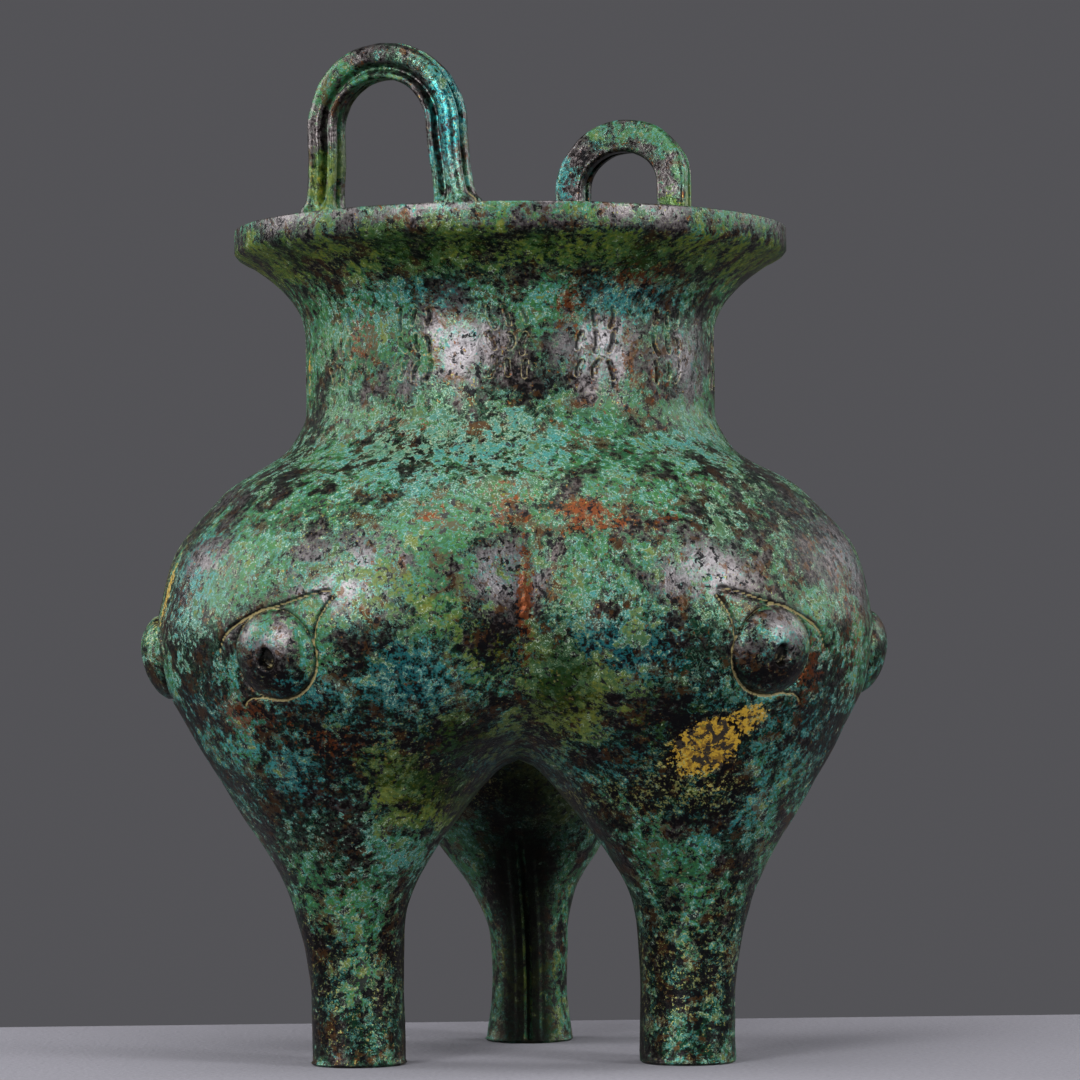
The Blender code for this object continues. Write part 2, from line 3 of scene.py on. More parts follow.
import bmesh
import bpy
import mathutils
import numpy as np
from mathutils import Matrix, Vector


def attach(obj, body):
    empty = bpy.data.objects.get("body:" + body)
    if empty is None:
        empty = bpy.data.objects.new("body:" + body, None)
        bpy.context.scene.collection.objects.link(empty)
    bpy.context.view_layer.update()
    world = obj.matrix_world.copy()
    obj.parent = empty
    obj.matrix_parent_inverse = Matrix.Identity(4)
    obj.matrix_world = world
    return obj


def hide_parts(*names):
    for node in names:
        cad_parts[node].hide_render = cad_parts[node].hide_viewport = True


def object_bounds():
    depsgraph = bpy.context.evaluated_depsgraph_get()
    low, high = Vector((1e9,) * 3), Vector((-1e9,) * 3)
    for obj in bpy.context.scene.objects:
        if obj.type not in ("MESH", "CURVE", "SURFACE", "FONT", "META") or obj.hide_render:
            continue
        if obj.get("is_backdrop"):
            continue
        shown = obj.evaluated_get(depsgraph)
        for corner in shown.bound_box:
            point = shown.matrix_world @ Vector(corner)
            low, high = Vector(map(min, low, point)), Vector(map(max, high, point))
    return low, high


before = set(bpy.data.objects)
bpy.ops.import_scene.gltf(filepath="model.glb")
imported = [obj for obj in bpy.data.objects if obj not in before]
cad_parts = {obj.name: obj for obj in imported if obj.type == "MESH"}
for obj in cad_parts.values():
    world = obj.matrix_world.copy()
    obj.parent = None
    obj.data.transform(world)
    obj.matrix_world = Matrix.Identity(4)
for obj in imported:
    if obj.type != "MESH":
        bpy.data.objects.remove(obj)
cad_low, cad_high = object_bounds()

# The body: one hollow bronze casting. Three lobes run together into a round neck with a trumpet rim,
# and taper into solid legs. The eyes, the lines round them and the leg grooves came with the mould,
# and the strokes on the neck are shallow marks that are not letters.
AXIS_Y = -0.00641
RIM_HEIGHT = 0.1770
RIM_RADIUS = 0.0594
RIM_WIDTH = 0.0052
LIP_HEIGHT = 0.0050
LIP_EDGE = 0.0004
FLARE_HEIGHT = 0.0175
OUTER_FLARE_POWER, INNER_FLARE_POWER = 2.1, 1.5
WALL = 0.0036
FOOT_EDGE = 0.0010
FOOT_RADIUS = 0.0101
LEG_TURN = math.radians(-3.5)
LEG_SHIFT = 0.0018
HALF_LOBE = math.pi / 3
LOBE_SOFTNESS = 0.06
LOBE_ANGLES = [math.radians(angle) for angle in (-60, 60, 180)]
# Of each lobe: height, how far its middle lies from the axis, and its half sizes outward and across
SECTIONS = np.array([
    (0.0000, 0.0398, 0.0103, 0.0101),
    (0.0140, 0.0400, 0.0102, 0.0088),
    (0.0235, 0.0406, 0.0111, 0.0091),
    (0.0330, 0.0412, 0.0126, 0.0118),
    (0.0440, 0.0411, 0.0174, 0.0186),
    (0.0540, 0.0403, 0.0248, 0.0248),
    (0.0610, 0.0394, 0.0300, 0.0300),
    (0.0700, 0.0352, 0.0388, 0.0388),
    (0.0800, 0.0300, 0.0483, 0.0483),
    (0.0940, 0.0247, 0.0548, 0.0548),
    (0.1070, 0.0194, 0.0558, 0.0558),
    (0.1200, 0.0105, 0.0530, 0.0530),
    (0.1310, 0.0026, 0.0450, 0.0450),
    (0.1380, 0.0000, 0.0443, 0.0443),
])
ANKLE, KNEE, LEG_TOP, CROTCH, LOWER_BELLY = 0.0140, 0.0440, 0.0490, 0.0610, 0.0800
OUTER_WAIST, INNER_WAIST = 0.18, 0.45
ROUND_FROM = 0.1380
NECK_RADIUS = 0.0443
POUCH_TOP, POUCH_FOOT, POUCH_DEPTH = 0.0540, 0.0500, 0.0070
FLARE_TOP = RIM_HEIGHT - LIP_HEIGHT - 2 * LIP_EDGE
NECK_TOP = FLARE_TOP - FLARE_HEIGHT
EYE_HEIGHT = 0.0854
EYE_SPACING = math.radians(38)
EYE_RADIUS = 0.0095
EYE_RISE = 0.0033
RING_PLACE, RING_WIDTH = 0.97, 0.0009
EYE_LINE_WIDTH, EYE_LINE_DEPTH = 0.0010, 0.00060
PUPIL_HALF_WIDTH, PUPIL_HALF_HEIGHT, PUPIL_DEPTH = 0.0016, 0.0020, 0.0019
STROKE_WIDTH, STROKE_DEPTH = 0.0011, 0.00050
LEG_GROOVE_HALF_WIDTH, LEG_GROOVE_DEPTH, LEG_RIDGE_HEIGHT = 0.00105, 0.0013, 0.00035
LEG_GROOVE_TOP, LEG_GROOVE_FADE, LEG_REACH = 0.0480, 0.008, 0.03
SEAM_MIDDLE, SEAM_HALF_LENGTH, SEAM_HALF_WIDTH, SEAM_HEIGHT = 0.0930, 0.0220, 0.0010, 0.00035
LUMP_HEIGHT = 0.00009


def smooth_curve(heights, values):
    """Curve through the values that never swings beyond them between two heights."""
    steps = np.diff(heights)
    slopes = np.diff(values) / steps
    tangents = np.zeros(len(values))
    tangents[0] = slopes[0]
    for i in range(1, len(slopes)):
        if slopes[i - 1] * slopes[i] > 0:
            before = 2 * steps[i] + steps[i - 1]
            after = steps[i] + 2 * steps[i - 1]
            tangents[i] = (before + after) / (before / slopes[i - 1] + after / slopes[i])

    def value_at(z):
        z = np.clip(z, heights[0], heights[-1])
        i = np.clip(np.searchsorted(heights, z, side="right") - 1, 0, len(steps) - 1)
        t = (z - heights[i]) / steps[i]
        low = (1 + 2 * t) * (1 - t) ** 2 * values[i] + t * (1 - t) ** 2 * steps[i] * tangents[i]
        high = t * t * (3 - 2 * t) * values[i + 1] - t * t * (1 - t) * steps[i] * tangents[i + 1]
        return low + high

    return value_at


spread_at, depth_at, width_at = [smooth_curve(SECTIONS[:, 0], SECTIONS[:, k]) for k in (1, 2, 3)]


def toward(angle):
    """Level direction at an angle from the front, turning to the right."""
    return np.stack([np.sin(angle), -np.cos(angle), np.zeros_like(angle)], axis=-1)


def skin(points):
    """Distance of points outside the lobes, which run together softly; below zero within them."""
    x, y, z = points[..., 0], points[..., 1], points[..., 2]
    spread, depth, width = spread_at(z), depth_at(z), width_at(z)
    nearness = []
    for angle in LOBE_ANGLES:
        out = x * math.sin(angle) - y * math.cos(angle) - spread
        across = x * math.cos(angle) + y * math.sin(angle)
        nearness.append((np.hypot(out / depth, across / width) - 1) * np.minimum(depth, width))
    softness = LOBE_SOFTNESS * spread + 1e-6
    nearest = np.minimum(np.minimum(nearness[0], nearness[1]), nearness[2])
    total = sum(np.exp((nearest - one) / softness) for one in nearness)
    return nearest - softness * np.log(total)


def skin_slope(points):
    """Direction in which the skin's distance grows, with its rate as length."""
    step = 0.0002
    slopes = []
    for axis in range(3):
        shift = np.zeros(3)
        shift[axis] = step
        slopes.append((skin(points + shift) - skin(points - shift)) / (2 * step))
    return np.stack(slopes, axis=-1)


def cast_rays(starts, directions, reach, inset=0.0):
    """Where rays from inside a lobe meet the face that lies the inset below the skin."""
    near = np.zeros(starts.shape[:-1])
    far = np.broadcast_to(reach, near.shape).astype(float)
    for _ in range(24):
        middle = (near + far) / 2
        places = starts + directions * middle[..., None]
        within = skin(places) < 0
        if inset > 0:
            rate = np.linalg.norm(skin_slope(places), axis=-1)
            within = -skin(places) / np.maximum(rate, 1e-6) > inset
        near = np.where(within, middle, near)
        far = np.where(within, far, middle)
    return starts + directions * near[..., None]


def spaced(low, high, count, closeness):
    """Places from low to high that lie closer together where the closeness is greater."""
    fine = np.linspace(low, high, 2000)
    total = np.concatenate([[0], np.cumsum((closeness(fine[1:]) + closeness(fine[:-1])) / 2)])
    return np.interp(np.linspace(0, total[-1], count), total, fine)


def mound(distance, half_width):
    """Smooth hump, one in the middle and nothing beyond the half width."""
    t = np.clip(1 - (distance / half_width) ** 2, 0, 1)
    return t * t


BODY_REACH, EYE_REACH = 0.16, 0.12
EVEN_SPACING_FROM = 0.102
SIDES_PER_LOBE = 240
SIDES_PER_SEAM = 48
BODY_TRIANGLES = 192000
EVEN = np.linspace(-HALF_LOBE, HALF_LOBE, SIDES_PER_LOBE + 1)
FROM_LOBE = spaced(-HALF_LOBE, HALF_LOBE, SIDES_PER_LOBE + 1, lambda a: (
    1 + 3.2 * mound(np.abs(a) - EYE_SPACING / 2, math.radians(17))
    + 1.5 * mound(HALF_LOBE - np.abs(a), math.radians(4))
))


def columns_at(heights):
    """Bearings from the middle of the lobe, close at the eyes on the belly and even on the neck."""
    rise = np.array(heights) - EVEN_SPACING_FROM
    share = np.clip(rise / (ROUND_FROM - EVEN_SPACING_FROM), 0, 1)[:, None]
    share = share * share * (3 - 2 * share)
    return np.tile(FROM_LOBE[:-1] * (1 - share) + EVEN[:-1] * share, 3)


def row_directions(heights):
    return toward(columns_at(heights) + np.repeat(LOBE_ANGLES, SIDES_PER_LOBE))


def body_rows(heights, inset):
    """Level rings round the joined lobes, one row of points for each height."""
    directions = row_directions(heights)
    starts = directions * (spread_at(heights)[:, None] * np.cos(columns_at(heights)))[..., None]
    starts[..., 2] = heights[:, None]
    return cast_rays(starts, directions, BODY_REACH, inset)


def round_rows(heights, radii):
    rows = row_directions(heights) * np.array(radii)[:, None, None]
    rows[..., 2] = np.array(heights)[:, None]
    return rows


def seam_points(ring, crease, inset):
    """Points under the body from the foot of one crease to the axis, ends included."""
    foot = ring[crease * SIDES_PER_LOBE]
    shares = 1 - np.arange(1, SIDES_PER_SEAM + 1) / SIDES_PER_SEAM
    starts = foot * shares[:, None]
    starts[:, 2] = LOWER_BELLY
    down = np.array([0.0, 0.0, -1.0])
    return np.vstack([foot, cast_rays(starts, down, LOWER_BELLY - KNEE, inset)])


def leg_row(heights, ring_bearings, lobe, inset):
    """Ring round one leg, with the bearings counted from straight outward."""
    angle = LOBE_ANGLES[lobe]
    middles = toward(np.full_like(heights, angle)) * spread_at(heights)[..., None]
    middles[..., 2] = heights
    across = np.sin(np.abs(ring_bearings) - HALF_LOBE)
    to_plane = spread_at(heights) * math.sin(HALF_LOBE) / np.maximum(across, 0.05)
    reach = depth_at(heights) + width_at(heights)
    reach = np.where(across > 0.05, np.minimum(to_plane, reach), reach)
    return cast_rays(middles, toward(angle + ring_bearings), reach, inset)


def leg_rows(top, lobe, heights, inset, blends):
    """Rings down one leg from the open end that the body leaves for it."""
    angle = LOBE_ANGLES[lobe]
    offset = top - toward(np.full(len(top), angle)) * spread_at(top[:, 2])[:, None]
    across = offset @ toward(np.array(angle + math.pi / 2))
    top_bearings = np.arctan2(across, offset @ toward(np.array(angle)))
    middle = SIDES_PER_LOBE + SIDES_PER_SEAM
    top_bearings[middle] = math.pi
    outer_half = top_bearings[SIDES_PER_LOBE]
    arc = FROM_LOBE / HALF_LOBE * outer_half
    shares = 1 - (1 - np.arange(1, SIDES_PER_SEAM + 1) / SIDES_PER_SEAM) ** 1.5
    inner = outer_half + (math.pi - outer_half) * shares
    level = np.concatenate([arc, inner, -inner[-2::-1]])
    share = np.linspace(0, 1, blends + 1)[1:-1, None]
    ring_heights = top[:, 2] * (1 - share) + heights[0] * share
    ring_bearings = top_bearings * (1 - share) + level * share
    ring_heights = np.vstack([ring_heights, np.repeat(np.array(heights)[:, None], len(level), axis=1)])
    ring_bearings = np.vstack([ring_bearings, np.repeat(level[None], len(heights), axis=0)])
    return leg_row(ring_heights, ring_bearings, lobe, inset)


# Eyes: each has a plane of its own on the skin, with one axis toward the nearer crease and one up
def eye_planes():
    planes = []
    for angle in LOBE_ANGLES:
        for hand in (-1, 1):
            bearing = np.array(angle + hand * EYE_SPACING / 2)
            start = toward(bearing) * spread_at(EYE_HEIGHT) * math.cos(EYE_SPACING / 2)
            start[2] = EYE_HEIGHT
            place = cast_rays(start[None], toward(bearing)[None], EYE_REACH)[0]
            normal = skin_slope(place[None])[0]
            normal /= np.linalg.norm(normal)
            side = toward(bearing + math.pi / 2) * hand
            side -= normal * side.dot(normal)
            side /= np.linalg.norm(side)
            up = np.cross(normal, side)
            planes.append((place, side, up if up[2] > 0 else -up))
    return planes


EYE_PLANES = eye_planes()
UNDER_EYE = np.radians([12, 0, -12, -24, -36, -48, -60, -72, -84, -94, -105])
LID_LINE = EYE_RADIUS * np.array([
    (-1.48, 0.02), (-1.44, 0.18), (-1.36, 0.34), (-1.24, 0.48), (-1.08, 0.60), (-0.90, 0.69), (-0.70, 0.79),
    (-0.48, 0.88), (-0.26, 0.96), (0.12, 1.02), (0.46, 1.09), (0.84, 1.18), (1.22, 1.23), (1.36, 1.22),
])
CORNER_LINE = EYE_RADIUS * np.array(
    [(1.42, 1.08), (1.26, 0.90), (1.13, 0.70), (1.05, 0.50), (1.02, 0.35)]
    + [(1.00 * math.cos(angle), 1.00 * math.sin(angle)) for angle in UNDER_EYE]
    + [(-0.50, -0.90), (-0.62, -0.93), (-0.80, -0.92), (-0.96, -1.00), (-1.04, -1.10)]
)


def line_distance(u, v, path):
    """Distance of flat points from a line through the path's points."""
    nearest = np.full(u.shape, 1.0)
    for (u0, v0), (u1, v1) in zip(path, path[1:]):
        du, dv = u1 - u0, v1 - v0
        t = np.clip(((u - u0) * du + (v - v0) * dv) / (du * du + dv * dv), 0, 1)
        nearest = np.minimum(nearest, np.hypot(u - u0 - t * du, v - v0 - t * dv))
    return nearest


def cut(distance, width):
    """Rounded groove's depth as a share, with a slight burr pushed up beside it below zero."""
    t = distance / (width / 2)
    return np.clip(1 - t * t, 0, 1) - 0.22 * mound(t - 1.5, 0.7)


# Neck strokes: groups of short marks in rows, each mark upright or nearly so, slightly bowed and apart
# from the next
STROKE_BEARINGS = np.radians([-56, -29, -3, 21, 45, 76, 104, 131, 158, 186, 213, 240, 268])
STROKE_MIDDLE = 0.1497
STROKE_ROWS = (0.0054, 0.0000, -0.0054)
STROKE_COLUMNS = (-0.0033, 0.0000, 0.0033)
STROKE_LENGTHS = (0.0026, 0.0042)
STROKE_SLANT, STROKE_BOW, STROKE_SHIFT = 0.45, 0.0007, 0.0004


def neck_strokes():
    random = np.random.default_rng(11)
    along = np.linspace(-0.5, 0.5, 7)
    strokes = []
    for bearing in STROKE_BEARINGS:
        for row in STROKE_ROWS:
            for column in STROKE_COLUMNS:
                length = random.uniform(*STROKE_LENGTHS)
                slant = random.uniform(-STROKE_SLANT, STROKE_SLANT)
                bow = random.uniform(-STROKE_BOW, STROKE_BOW) * (1 - 4 * along * along)
                shift = random.uniform(-STROKE_SHIFT, STROKE_SHIFT, 2)
                u = column + shift[0] + along * length * math.sin(slant) + bow * math.cos(slant)
                v = row + shift[1] + along * length * math.cos(slant) - bow * math.sin(slant)
                if random.random() < 0.9:
                    strokes.append(np.stack([bearing * NECK_RADIUS + u, STROKE_MIDDLE + v], axis=1))
    return strokes


NECK_STROKES = neck_strokes()


def eye_grooves(u, v):
    """Depth, as a share, of the ring round the ball and of the lines round that."""
    r = np.hypot(u, v) / EYE_RADIUS
    ring = cut(np.abs(r - RING_PLACE) * EYE_RADIUS, RING_WIDTH)
    lid = cut(line_distance(u, v, LID_LINE), EYE_LINE_WIDTH)
    corner = cut(line_distance(u, v, CORNER_LINE), EYE_LINE_WIDTH)
    return np.maximum(0.9 * ring, np.maximum(lid, corner) * (r > 0.95))


def relief(points):
    """How far the cast surface stands out from the skin, where dust lies in its lines, and where shade is
    painted in its lines and pupils.
    """
    x, y, z = points.T
    raised = np.zeros(len(points))
    dust = np.zeros(len(points))
    recess_shade = np.zeros(len(points))
    for place, side, up in EYE_PLANES:
        near = np.flatnonzero(np.linalg.norm(points - place, axis=1) < 2.2 * EYE_RADIUS)
        u = (points[near] - place) @ side
        v = (points[near] - place) @ up
        r = np.hypot(u, v) / EYE_RADIUS
        dome = EYE_RISE * np.clip(1 - (r / RING_PLACE) ** 2.5, 0, 1) ** 0.92
        groove = eye_grooves(u, v)
        pupil = np.hypot(u / PUPIL_HALF_WIDTH, v / PUPIL_HALF_HEIGHT)
        well = np.clip((1.25 - pupil) / 0.4, 0, 1)
        raised[near] += dome - EYE_LINE_DEPTH * groove
        raised[near] -= PUPIL_DEPTH * well * well * (3 - 2 * well)
        floor_dust = 0.60 * (well > 0.6) * np.clip(0.7 - v / 0.0012, 0, 1)
        floor_dust = np.maximum(floor_dust, 0.5 * mound(pupil - 1.1, 0.4))
        dust[near] = np.maximum(np.clip(groove, 0, 1) ** 2, floor_dust)
        # Painted shadow just above each eye line, and painted shade over the whole pupil
        above = np.clip(eye_grooves(u, v - 0.00042), 0, 1) ** 1.5
        recess_shade[near] = np.maximum(well > 0.5, above)
    neck = np.flatnonzero((np.abs(z - STROKE_MIDDLE) < 0.012) & (np.hypot(x, y) > NECK_RADIUS - 0.001))
    around = np.arctan2(x[neck], -y[neck])
    for turn in (0, 2 * math.pi):
        u, v = (around + turn) * NECK_RADIUS, z[neck]
        for path in NECK_STROKES:
            close = np.flatnonzero((np.abs(u - path[3, 0]) < 0.005) & (np.abs(v - path[3, 1]) < 0.0055))
            away = line_distance(u[close], v[close], path)
            marked = neck[close]
            raised[marked] -= STROKE_DEPTH * cut(away, STROKE_WIDTH)
            # Painted shade along the floor of each stroke
            recess_shade[marked] = np.maximum(recess_shade[marked], mound(away, 0.0005))
            # Tan at the strokes' edges: dust, and also a painted highlight where the burrs catch the light
            dust[marked] = np.maximum(dust[marked], 0.75 * mound(away - 0.00062, 0.00042))
    for angle in LOBE_ANGLES:
        out = x * math.sin(angle) - y * math.cos(angle) - spread_at(z)
        across = x * math.cos(angle) + y * math.sin(angle)
        inner = (out < 0) & (np.hypot(out, across) < LEG_REACH)
        fade = np.clip((LEG_GROOVE_TOP - z) / LEG_GROOVE_FADE, 0, 1) * inner
        groove = np.clip(1 - (across / LEG_GROOVE_HALF_WIDTH) ** 2, 0, 1)
        ridge = mound(np.abs(across) - 0.0022, 0.0012)
        raised += fade * (LEG_RIDGE_HEIGHT * ridge - LEG_GROOVE_DEPTH * groove)
        dust = np.maximum(dust, 0.35 * fade * groove)
        crease = angle + HALF_LOBE
        beside = x * math.cos(crease) + y * math.sin(crease)
        along = x * math.sin(crease) - y * math.cos(crease)
        wobble = 0.0003 * np.sin(z * 900) + 0.0002 * np.sin(z * 2300)
        seam = mound(beside + wobble, SEAM_HALF_WIDTH) * mound(z - SEAM_MIDDLE, SEAM_HALF_LENGTH)
        raised += SEAM_HEIGHT * seam * (along > 0)
    return raised, dust, recess_shade


def lumps(points):
    """Slight unevenness of a cast surface, only ever inward."""
    random = np.random.default_rng(5)
    total = np.zeros(len(points))
    for length, share in ((0.060, 1.0), (0.034, 0.8), (0.019, 0.5), (0.011, 0.3), (0.006, 0.12)):
        for _ in range(5):
            direction = random.normal(size=3)
            direction *= 2 * math.pi / length / np.linalg.norm(direction)
            total += share * np.sin(points @ direction + random.uniform(0, 6.28))
    return LUMP_HEIGHT * np.clip(total, -4, 4) - 4 * LUMP_HEIGHT


def turn_legs(points, back=False):
    """The points turned and shifted by as much as the legs are at their height, or turned back."""
    z = points[:, 2]
    fade = np.clip((LOWER_BELLY - z) / (LOWER_BELLY - ANKLE), 0, 1)
    fade = fade * fade * (3 - 2 * fade)
    turn = LEG_TURN * fade * (-1 if back else 1)
    x = points[:, 0] - (LEG_SHIFT * fade if back else 0)
    y = points[:, 1]
    turned_x = x * np.cos(turn) - y * np.sin(turn) + (0 if back else LEG_SHIFT * fade)
    return np.stack([turned_x, x * np.sin(turn) + y * np.cos(turn), z], axis=1)


def between(low, high, shares):
    return list(low + (high - low) * np.array(shares))


def flare(heights, foot_radius, top_height, top_radius, power):
    share = np.clip((np.array(heights) - NECK_TOP) / (top_height - NECK_TOP), 0, 1)
    return foot_radius + (top_radius - foot_radius) * share ** power


def outer_grid():
    """Rows from under the belly up the outside to the lower edge of the lip."""
    waist = CROTCH + OUTER_WAIST * (LOWER_BELLY - CROTCH)
    heights = spaced(waist, ROUND_FROM, 172, lambda z: (
        1 + 2.2 * mound(z - EYE_HEIGHT, 0.019) + 0.4 * mound(z - 0.121, 0.012)
    ))
    neck = spaced(ROUND_FROM, NECK_TOP, 58, lambda z: 1 + 0 * z)[1:]
    flare_heights = spaced(NECK_TOP, FLARE_TOP, 36, lambda z: 1 + 1.2 * (z < 0.161))[1:]
    top_radius = RIM_RADIUS - 2 * LIP_EDGE
    flare_radii = flare(flare_heights, NECK_RADIUS, FLARE_TOP, top_radius, OUTER_FLARE_POWER)
    return np.concatenate([
        body_rows(heights, 0.0),
        round_rows(neck, np.full(len(neck), NECK_RADIUS)),
        round_rows(flare_heights, flare_radii),
    ])


def rim_grid():
    """Rows over the lip: its lower edge, its upright face, its flat top and its inner edge."""
    heights = [RIM_HEIGHT - LIP_HEIGHT - 0.0001, RIM_HEIGHT - LIP_HEIGHT + 0.0002]
    radii = [RIM_RADIUS - 0.0002, RIM_RADIUS]
    for share in np.linspace(0.1, 0.9, 7):
        heights.append(RIM_HEIGHT - LIP_HEIGHT + share * (LIP_HEIGHT - LIP_EDGE))
        radii.append(RIM_RADIUS)
    for angle in np.radians([0, 30, 60, 90]):
        heights.append(RIM_HEIGHT - LIP_EDGE * (1 - math.sin(angle)))
        radii.append(RIM_RADIUS - LIP_EDGE * (1 - math.cos(angle)))
    inner = RIM_RADIUS - RIM_WIDTH
    for share in (0.25, 0.5, 0.75):
        heights.append(RIM_HEIGHT)
        radii.append(radii[-1] + (inner + LIP_EDGE - radii[-1]) * share)
    for angle in np.radians([0, 45, 90]):
        heights.append(RIM_HEIGHT - LIP_EDGE * (1 - math.cos(angle)))
        radii.append(inner + LIP_EDGE * (1 - math.sin(angle)))
    return round_rows(heights, radii)


def inner_grid():
    """Rows down the inside, from under the lip to the belly's floor."""
    flare_heights = between(RIM_HEIGHT - 2 * LIP_EDGE, NECK_TOP, np.linspace(0, 1, 12))
    top_radius = RIM_RADIUS - RIM_WIDTH
    radii = flare(flare_heights, NECK_RADIUS - WALL, RIM_HEIGHT, top_radius, INNER_FLARE_POWER)
    waist = CROTCH + INNER_WAIST * (LOWER_BELLY - CROTCH)
    heights = between(ROUND_FROM, waist, np.linspace(0, 1, 32))
    return np.concatenate([
        round_rows(flare_heights, radii),
        body_rows(np.array(heights), WALL),
    ])


class Surface:
    """Points and faces of the casting while it is put together."""

    def __init__(self):
        self.points, self.quads, self.fans, self.count = [], [], [], 0

    def add(self, rows):
        flat = rows.reshape(-1, 3)
        self.points.append(flat)
        index = self.count + np.arange(len(flat)).reshape(rows.shape[:-1])
        self.count += len(flat)
        return index

    def join(self, rows):
        """Quads between rows of indices that close on themselves, rising when seen from outside."""
        low, high = rows[:-1], rows[1:]
        low_next, high_next = np.roll(low, -1, axis=1), np.roll(high, -1, axis=1)
        self.quads.append(np.stack([low, low_next, high_next, high], axis=-1).reshape(-1, 4))

    def fan(self, ring, middle):
        point = int(self.add(middle[None])[0])
        self.fans.append(np.stack([np.roll(ring, -1), ring, np.full(len(ring), point)], axis=-1))


def build_legs(surface, ring, ring_points, inset):
    """The underside and the three legs below one face of the body, outside or inside."""
    outward = inset == 0
    seams = [seam_points(ring_points, crease, inset) for crease in range(3)]
    centre = surface.add(seams[0][-1][None])
    seam_index = []
    for crease in range(3):
        middle = surface.add(seams[crease][1:-1])
        seam_index.append(np.concatenate([[ring[crease * SIDES_PER_LOBE]], middle, centre]))
    for lobe in range(3):
        following = (lobe + 1) % 3
        arc = (lobe * SIDES_PER_LOBE + np.arange(SIDES_PER_LOBE + 1)) % len(ring)
        top = np.concatenate([ring[arc], seam_index[following][1:], seam_index[lobe][-2:0:-1]])
        top_points = np.vstack([ring_points[arc], seams[following][1:], seams[lobe][-2:0:-1]])
        if outward:
            heights = between(LEG_TOP, FOOT_EDGE, np.linspace(0, 1, 44))
        else:
            heights = between(POUCH_TOP, POUCH_FOOT, [0, 1])
        rows = leg_rows(top_points, lobe, heights, inset, 12 if outward else 7)
        last = rows[-1]
        middle = toward(np.array(LOBE_ANGLES[lobe])) * spread_at(last[0, 2])
        ends = []
        if outward:
            for angle in np.radians([30, 60, 90]):
                shrink = 1 - FOOT_EDGE * (1 - math.cos(angle)) / FOOT_RADIUS
                end = middle + (last - middle) * shrink
                end[:, 2] = FOOT_EDGE * (1 - math.sin(angle))
                ends.append(end)
            floor = 0.0
            for share in (0.7, 0.35):
                end = middle + (last - middle) * share
                end[:, 2] = floor
                ends.append(end)
        else:
            for angle in np.radians([18, 36, 54, 72]):
                end = middle + (last - middle) * math.cos(angle)
                end[:, 2] = POUCH_FOOT - POUCH_DEPTH * math.sin(angle)
                ends.append(end)
            floor = POUCH_FOOT - POUCH_DEPTH
        index = surface.add(np.concatenate([rows, np.array(ends)]))
        chain = np.vstack([top[None], index])
        surface.join(chain[::-1])
        middle = middle.copy()
        middle[2] = floor
        surface.fan(chain[-1], middle)


def cast_body():
    """Mesh of the whole casting but for its handles, as one closed surface."""
    surface = Surface()
    outside, rim, inside = outer_grid(), rim_grid(), inner_grid()
    rows = surface.add(np.concatenate([outside, rim, inside]))
    surface.join(rows)
    build_legs(surface, rows[0], outside[0], 0.0)
    first = len(surface.quads)
    build_legs(surface, rows[-1], inside[-1], WALL)
    for k in range(first, len(surface.quads)):
        surface.quads[k] = surface.quads[k][:, ::-1]
    surface.fans[3:] = [fan[:, ::-1] for fan in surface.fans[3:]]
    points = np.concatenate(surface.points)
    on_skin = np.abs(skin(points)) < 0.0003
    on_skin |= (np.hypot(points[:, 0], points[:, 1]) > NECK_RADIUS - 0.0005) & (points[:, 2] > ROUND_FROM)
    on_skin &= points[:, 2] > FOOT_EDGE / 2
    on_skin &= points[:, 2] < RIM_HEIGHT - LIP_HEIGHT - 0.0020
    places = np.flatnonzero(on_skin)
    slope = skin_slope(points[places])
    slope /= np.linalg.norm(slope, axis=1)[:, None]
    raised = relief(points[places])[0]
    points[places] += slope * (raised + lumps(points[places]))[:, None]
    points = turn_legs(points) + np.array([0, AXIS_Y, 0])
    points = np.clip(points, np.array(cad_low), np.array(cad_high))
    quads = np.concatenate(surface.quads)
    fans = np.concatenate(surface.fans)
    data = bpy.data.meshes.new("vessel_body")
    data.from_pydata(points.tolist(), [], quads.tolist() + fans.tolist())
    data.update()
    body = bpy.data.objects.new("vessel_body", data)
    bpy.context.scene.collection.objects.link(body)
    return body


def finish_mesh(piece, triangles):
    """Brings a piece to its share of triangles, keeping them where its form turns, and shades it."""
    bpy.ops.object.select_all(action="DESELECT")
    bpy.context.view_layer.objects.active = piece
    piece.select_set(True)
    count = sum(len(face.vertices) - 2 for face in piece.data.polygons)
    if count > triangles:
        thin = piece.modifiers.new("thin", "DECIMATE")
        thin.ratio = triangles / count
        bpy.ops.object.modifier_apply(modifier=thin.name)
    bpy.ops.object.shade_smooth_by_angle(angle=math.radians(50))
    piece.select_set(False)
